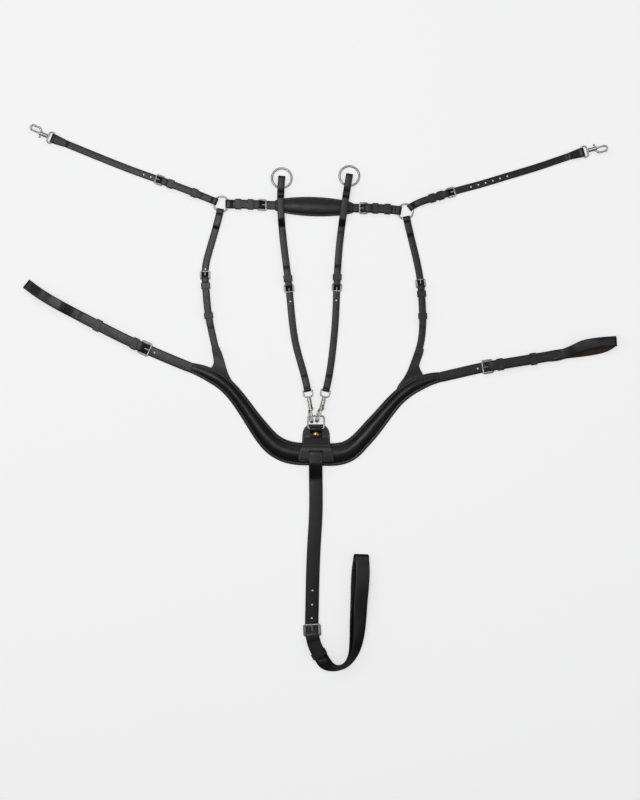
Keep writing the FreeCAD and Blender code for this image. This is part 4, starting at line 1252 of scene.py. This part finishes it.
def padWidth(run):
    share = min(max(padShare(run), 0.004), 0.996)
    return padLook["endWidth"] + padLook["swell"] * math.sin(math.pi * share) ** 0.6


def padTop(run, side):
    rise = math.sin(math.pi * padShare(run)) ** 0.5
    half = padWidth(run) / 2
    soft = noise.noise(Vector((run * 0.06, side * 0.09, 1.7))) * 0.22 * rise
    crown = padLook["ends"] + (padLook["crown"] - padLook["ends"]) * rise + soft
    return crowned(half - abs(side), half, padLook["edge"], crown, padLook["margin"], 0.3, padLook["seam"])


witherPad = makePadded("witherPad", wither, padStart, padEnd, padWidth, padTop, padLook["floor"], step=2.4)
attach(witherPad, "breastplate", ["wither_pad_outer", "wither_pad_padding"])
rows = [(wither.spot(run, 0, padLook["under"] + 0.8), wither.across(run), padWidth(run) + 0.3, 1.5)
        for run in np.linspace(padStart - 0.2, padEnd + 0.2, 60)]
padLining = layStrip("witherPadLining", rows)
smooth(padLining)
attach(padLining, "breastplate", ["wither_pad_lining"])
for side in (-1, 1):
    def beside(run, side=side):
        return side * (padWidth(run) / 2 - padLook["seam"])
    sewOn("breastplate", seamBeside(wither, padStart + 2.6, padEnd - 2.6, beside,
                                    lambda run: padTop(run, beside(run)) + 0.16))
for run in (padStart + 2.6, padEnd - 2.6):
    half = padWidth(run) / 2 - padLook["seam"]
    sewOn("breastplate", [wither.spot(run, side, padTop(run, side) + 0.16) for side in (-half, 0, half)])
print("wither pad made")

# centre patch and ring tab
patchLook = {
    "left": [(-32, -14.5), (-29, 6), (-25, 22), (-22.5, 44), (-17.5, 51.5), (-11, 55)],
    "right": [(34, -14.5), (31, 6), (27, 22), (24.5, 44), (19, 51.5), (13, 55)],
    "under": [(-15, 8.0), (-9, 8.75), (9, 8.75), (14, 7.75), (30, 0.3), (56, 0.3)],
    "thick": 2.6, "slot": (5.45, 2.3, 26.2), "crossSeam": 15.6,
}


def patchTop(share, x, y):
    under = [np.interp(y + shift, *zip(*patchLook["under"])) for shift in (-3, -1.5, 0, 1.5, 3)]
    return max(0.3, float(np.mean(under))) + patchLook["thick"]


patch = layPlate("centrePatch", patchLook["left"], patchLook["right"], patchTop, patchLook["thick"], 44, 20)
slotY, slotLong, slotWide = patchLook["slot"]
slotPlace = Matrix.Translation(Vector((0.5, slotY, 9)) * mm)
cutAway(patch, placeCube(slotPlace @ Matrix.Diagonal((slotWide * mm, slotLong * mm, 14 * mm, 1))))
smooth(patch)
attach(patch, "breastplate", ["centre_patch"])
leftLine = Route(patchLook["left"])
rightLine = Route(patchLook["right"])
inset = 2.6
leftSeam = []
rightSeam = []
for share in np.linspace(0.035, 0.985, 30):
    for edgeLine, seam, way in ((leftLine, leftSeam, 1), (rightLine, rightSeam, -1)):
        place = edgeLine.flat(share * edgeLine.length)
        x, y = place[0] + way * inset, place[1] - (inset if share > 0.95 else 0)
        seam.append(Vector((x, y, patchTop(0, x, y) + 0.12)))
sewOn("breastplate", leftSeam)
sewOn("breastplate", rightSeam)
for y in (-12.2, patchLook["crossSeam"]):
    xs = [float(np.interp(y, [-14.5, 6, 22, 44], [-29.2, -26.3, -22.4, -19.9])),
          float(np.interp(y, [-14.5, 6, 22, 44], [31.2, 28.3, 24.4, 21.9]))]
    sewOn("breastplate", [Vector((x, y, patchTop(0, x, y) + 0.12)) for x in np.linspace(xs[0], xs[1], 12)])

tabLook = {"middle": (0.9, 47.2), "half": 11.0, "floor": 3.05, "leather": 1.8, "bar": 3.4, "long": 16.0}
x0, y0 = tabLook["middle"]
ply = tabLook["leather"]
radius = tabLook["bar"] / 2 + play + ply / 2
barHeight = tabLook["floor"] + ply + play + tabLook["bar"] / 2
tabRoute = Route([(x0, y0 - 30), (x0, y0 - 20), (x0, y0 - 10), (x0, y0 + 10)])
line = Line(tabRoute, 2 * tabLook["half"], ply)
low = tabLook["floor"] + ply / 2
upper = low + ply + 0.02
tabEnd = 30 - tabLook["long"]
line.go(tabEnd, low)
line.go(30, low)
line.fold(30, barHeight, radius, 1)
line.go(30, barHeight + radius)
line.go(26, barHeight + radius * 0.9)
line.go(22, upper)
line.go(tabEnd + 4, upper)
line.rows.reverse()
line.rows = [(tabEnd + back, upper, line.width * math.sqrt(max(0.03, 1 - ((4 - back) / 4.4) ** 2)), ply)
             for back in (0, 1, 2, 3)] + line.rows
tab = layStrip("ringTab", line.stations(), columns=8, up=2)
lowest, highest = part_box("emblem_stud")
clearChoice()
bpy.ops.mesh.primitive_cylinder_add(vertices=32, radius=1.9 * mm, depth=20 * mm,
                                    location=((lowest.x + highest.x) / 2, (lowest.y + highest.y) / 2, 6 * mm))
hole = bpy.context.object
settle(hole)
cutAway(tab, hole)
smooth(tab)
attach(tab, "breastplate", ["ring_tab"])
level = tabLook["floor"] + 2 * ply + 0.12
for side in (-8.6, 8.6):
    sewOn("breastplate", [Vector((x0 + side, y0 - back, level)) for back in (8.6, 13.5)], darkThread)
print("patch and tab made")

# stitches, one piece for each body
for body, seams in threads.items():
    name = "stitches" + "".join(word.title() for word in body.split("_"))
    attach(joinAll(name, seams), body)
for guide in [item for item in bpy.data.objects if item.type == "CURVE"]:
    bpy.data.objects.remove(guide)
print("stitches:", len(threads))

# snap springs, which the bolts press together on the real snap; here each is copied unchanged and attached to
# the parent body of its bolt's slide
springKeep = {"fork": 0.58, "saddle": 0.07}     # share of its length at the bolt's limit
for kind, keep in springKeep.items():
    for side in ("left", "right"):
        slideName = kind + "_bolt_" + side + "_slide"
        slide = next(joint for joint in frame["joints"] if joint["name"] == slideName)
        source = nodes[kind + "_snap_spring_" + side]
        coil = source.copy()
        coil.data = source.data.copy()
        coil.name = kind + "SnapSpring" + side.title()
        bpy.context.scene.collection.objects.link(coil)
        coil.parent = None
        coil.matrix_world = source.matrix_world
        settle(coil)
        editAll(coil, bpy.ops.mesh.remove_doubles, threshold=0.005 * mm)
        smooth(coil)
        give(coil, springSteel)
        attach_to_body(coil, slide["parent"])
        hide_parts(kind + "_snap_spring_" + side)
        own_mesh(coil)
print("springs:", len(springKeep) * 2)

# floor, light, camera
stage = {"floor": 0.9, "glow": 0.53, "middle": (0.0083, 0.0999), "lens": 85.0, "height": 3.494}


def makeFloor():
    f = Finish("paleFloor")
    cloud = f.noise(1.3, 2.0)
    shade = stage["floor"]
    tone = f.blendOf(cloud, (shade, shade, shade), (shade - 0.01, shade - 0.01, shade - 0.008))
    f.finish(Base_Color=tone, Roughness=0.9, Specular_IOR_Level=0.1, Emission_Color=(1.0, 1.0, 1.0),
             Emission_Strength=stage["glow"])
    return f.material


clearChoice()
bpy.ops.mesh.primitive_plane_add(size=14, location=(0, 0, -0.0006))
floor = bpy.context.object
floor.name = "floor"
give(floor, makeFloor())
floor.visible_glossy = False    # the metal mirrors the room, not the lit floor
floor.visible_diffuse = False

world = bpy.data.worlds.new("softRoom")
bpy.context.scene.world = world
world.use_nodes = True
world.node_tree.nodes["Background"].inputs["Color"].default_value = (0.95, 0.97, 1.0, 1)
world.node_tree.nodes["Background"].inputs["Strength"].default_value = 0.07

lamps = {                       # place, size and power
    "keyBox": ((-0.6, 0.8, 4.3), (0.8, 0.8), 26),
    "leftStrip": ((-1.5, 0.1, 3.1), (0.3, 2.4), 8),
    "rightStrip": ((1.5, 0.2, 3.1), (0.25, 2.4), 6),
    "leftBox": ((-2.9, 0.6, 1.7), (1.4, 2.4), 8),
    "rightBox": ((2.9, -0.3, 1.8), (1.4, 2.4), 6),
    "farBox": ((-0.1, 2.6, 2.6), (2.2, 0.9), 8),
}
for name, (place, size, power) in lamps.items():
    clearChoice()
    bpy.ops.object.light_add(type="AREA", location=place)
    lamp = bpy.context.object
    lamp.name = name
    lamp.data.shape = "RECTANGLE"
    lamp.data.size, lamp.data.size_y = size
    lamp.data.energy = power
    lamp.rotation_euler = (Vector((0.0, 0.1, 0.0)) - Vector(place)).to_track_quat("-Z", "Y").to_euler()

bpy.ops.object.camera_add(location=(*stage["middle"], stage["height"]), rotation=(0, 0, 0))
camera = bpy.context.object
camera.name = "camera"
camera.data.lens = stage["lens"]
camera.data.sensor_width = 36
camera.data.clip_end = 50
bpy.context.scene.camera = camera
bpy.context.scene.view_settings.view_transform = "Standard"
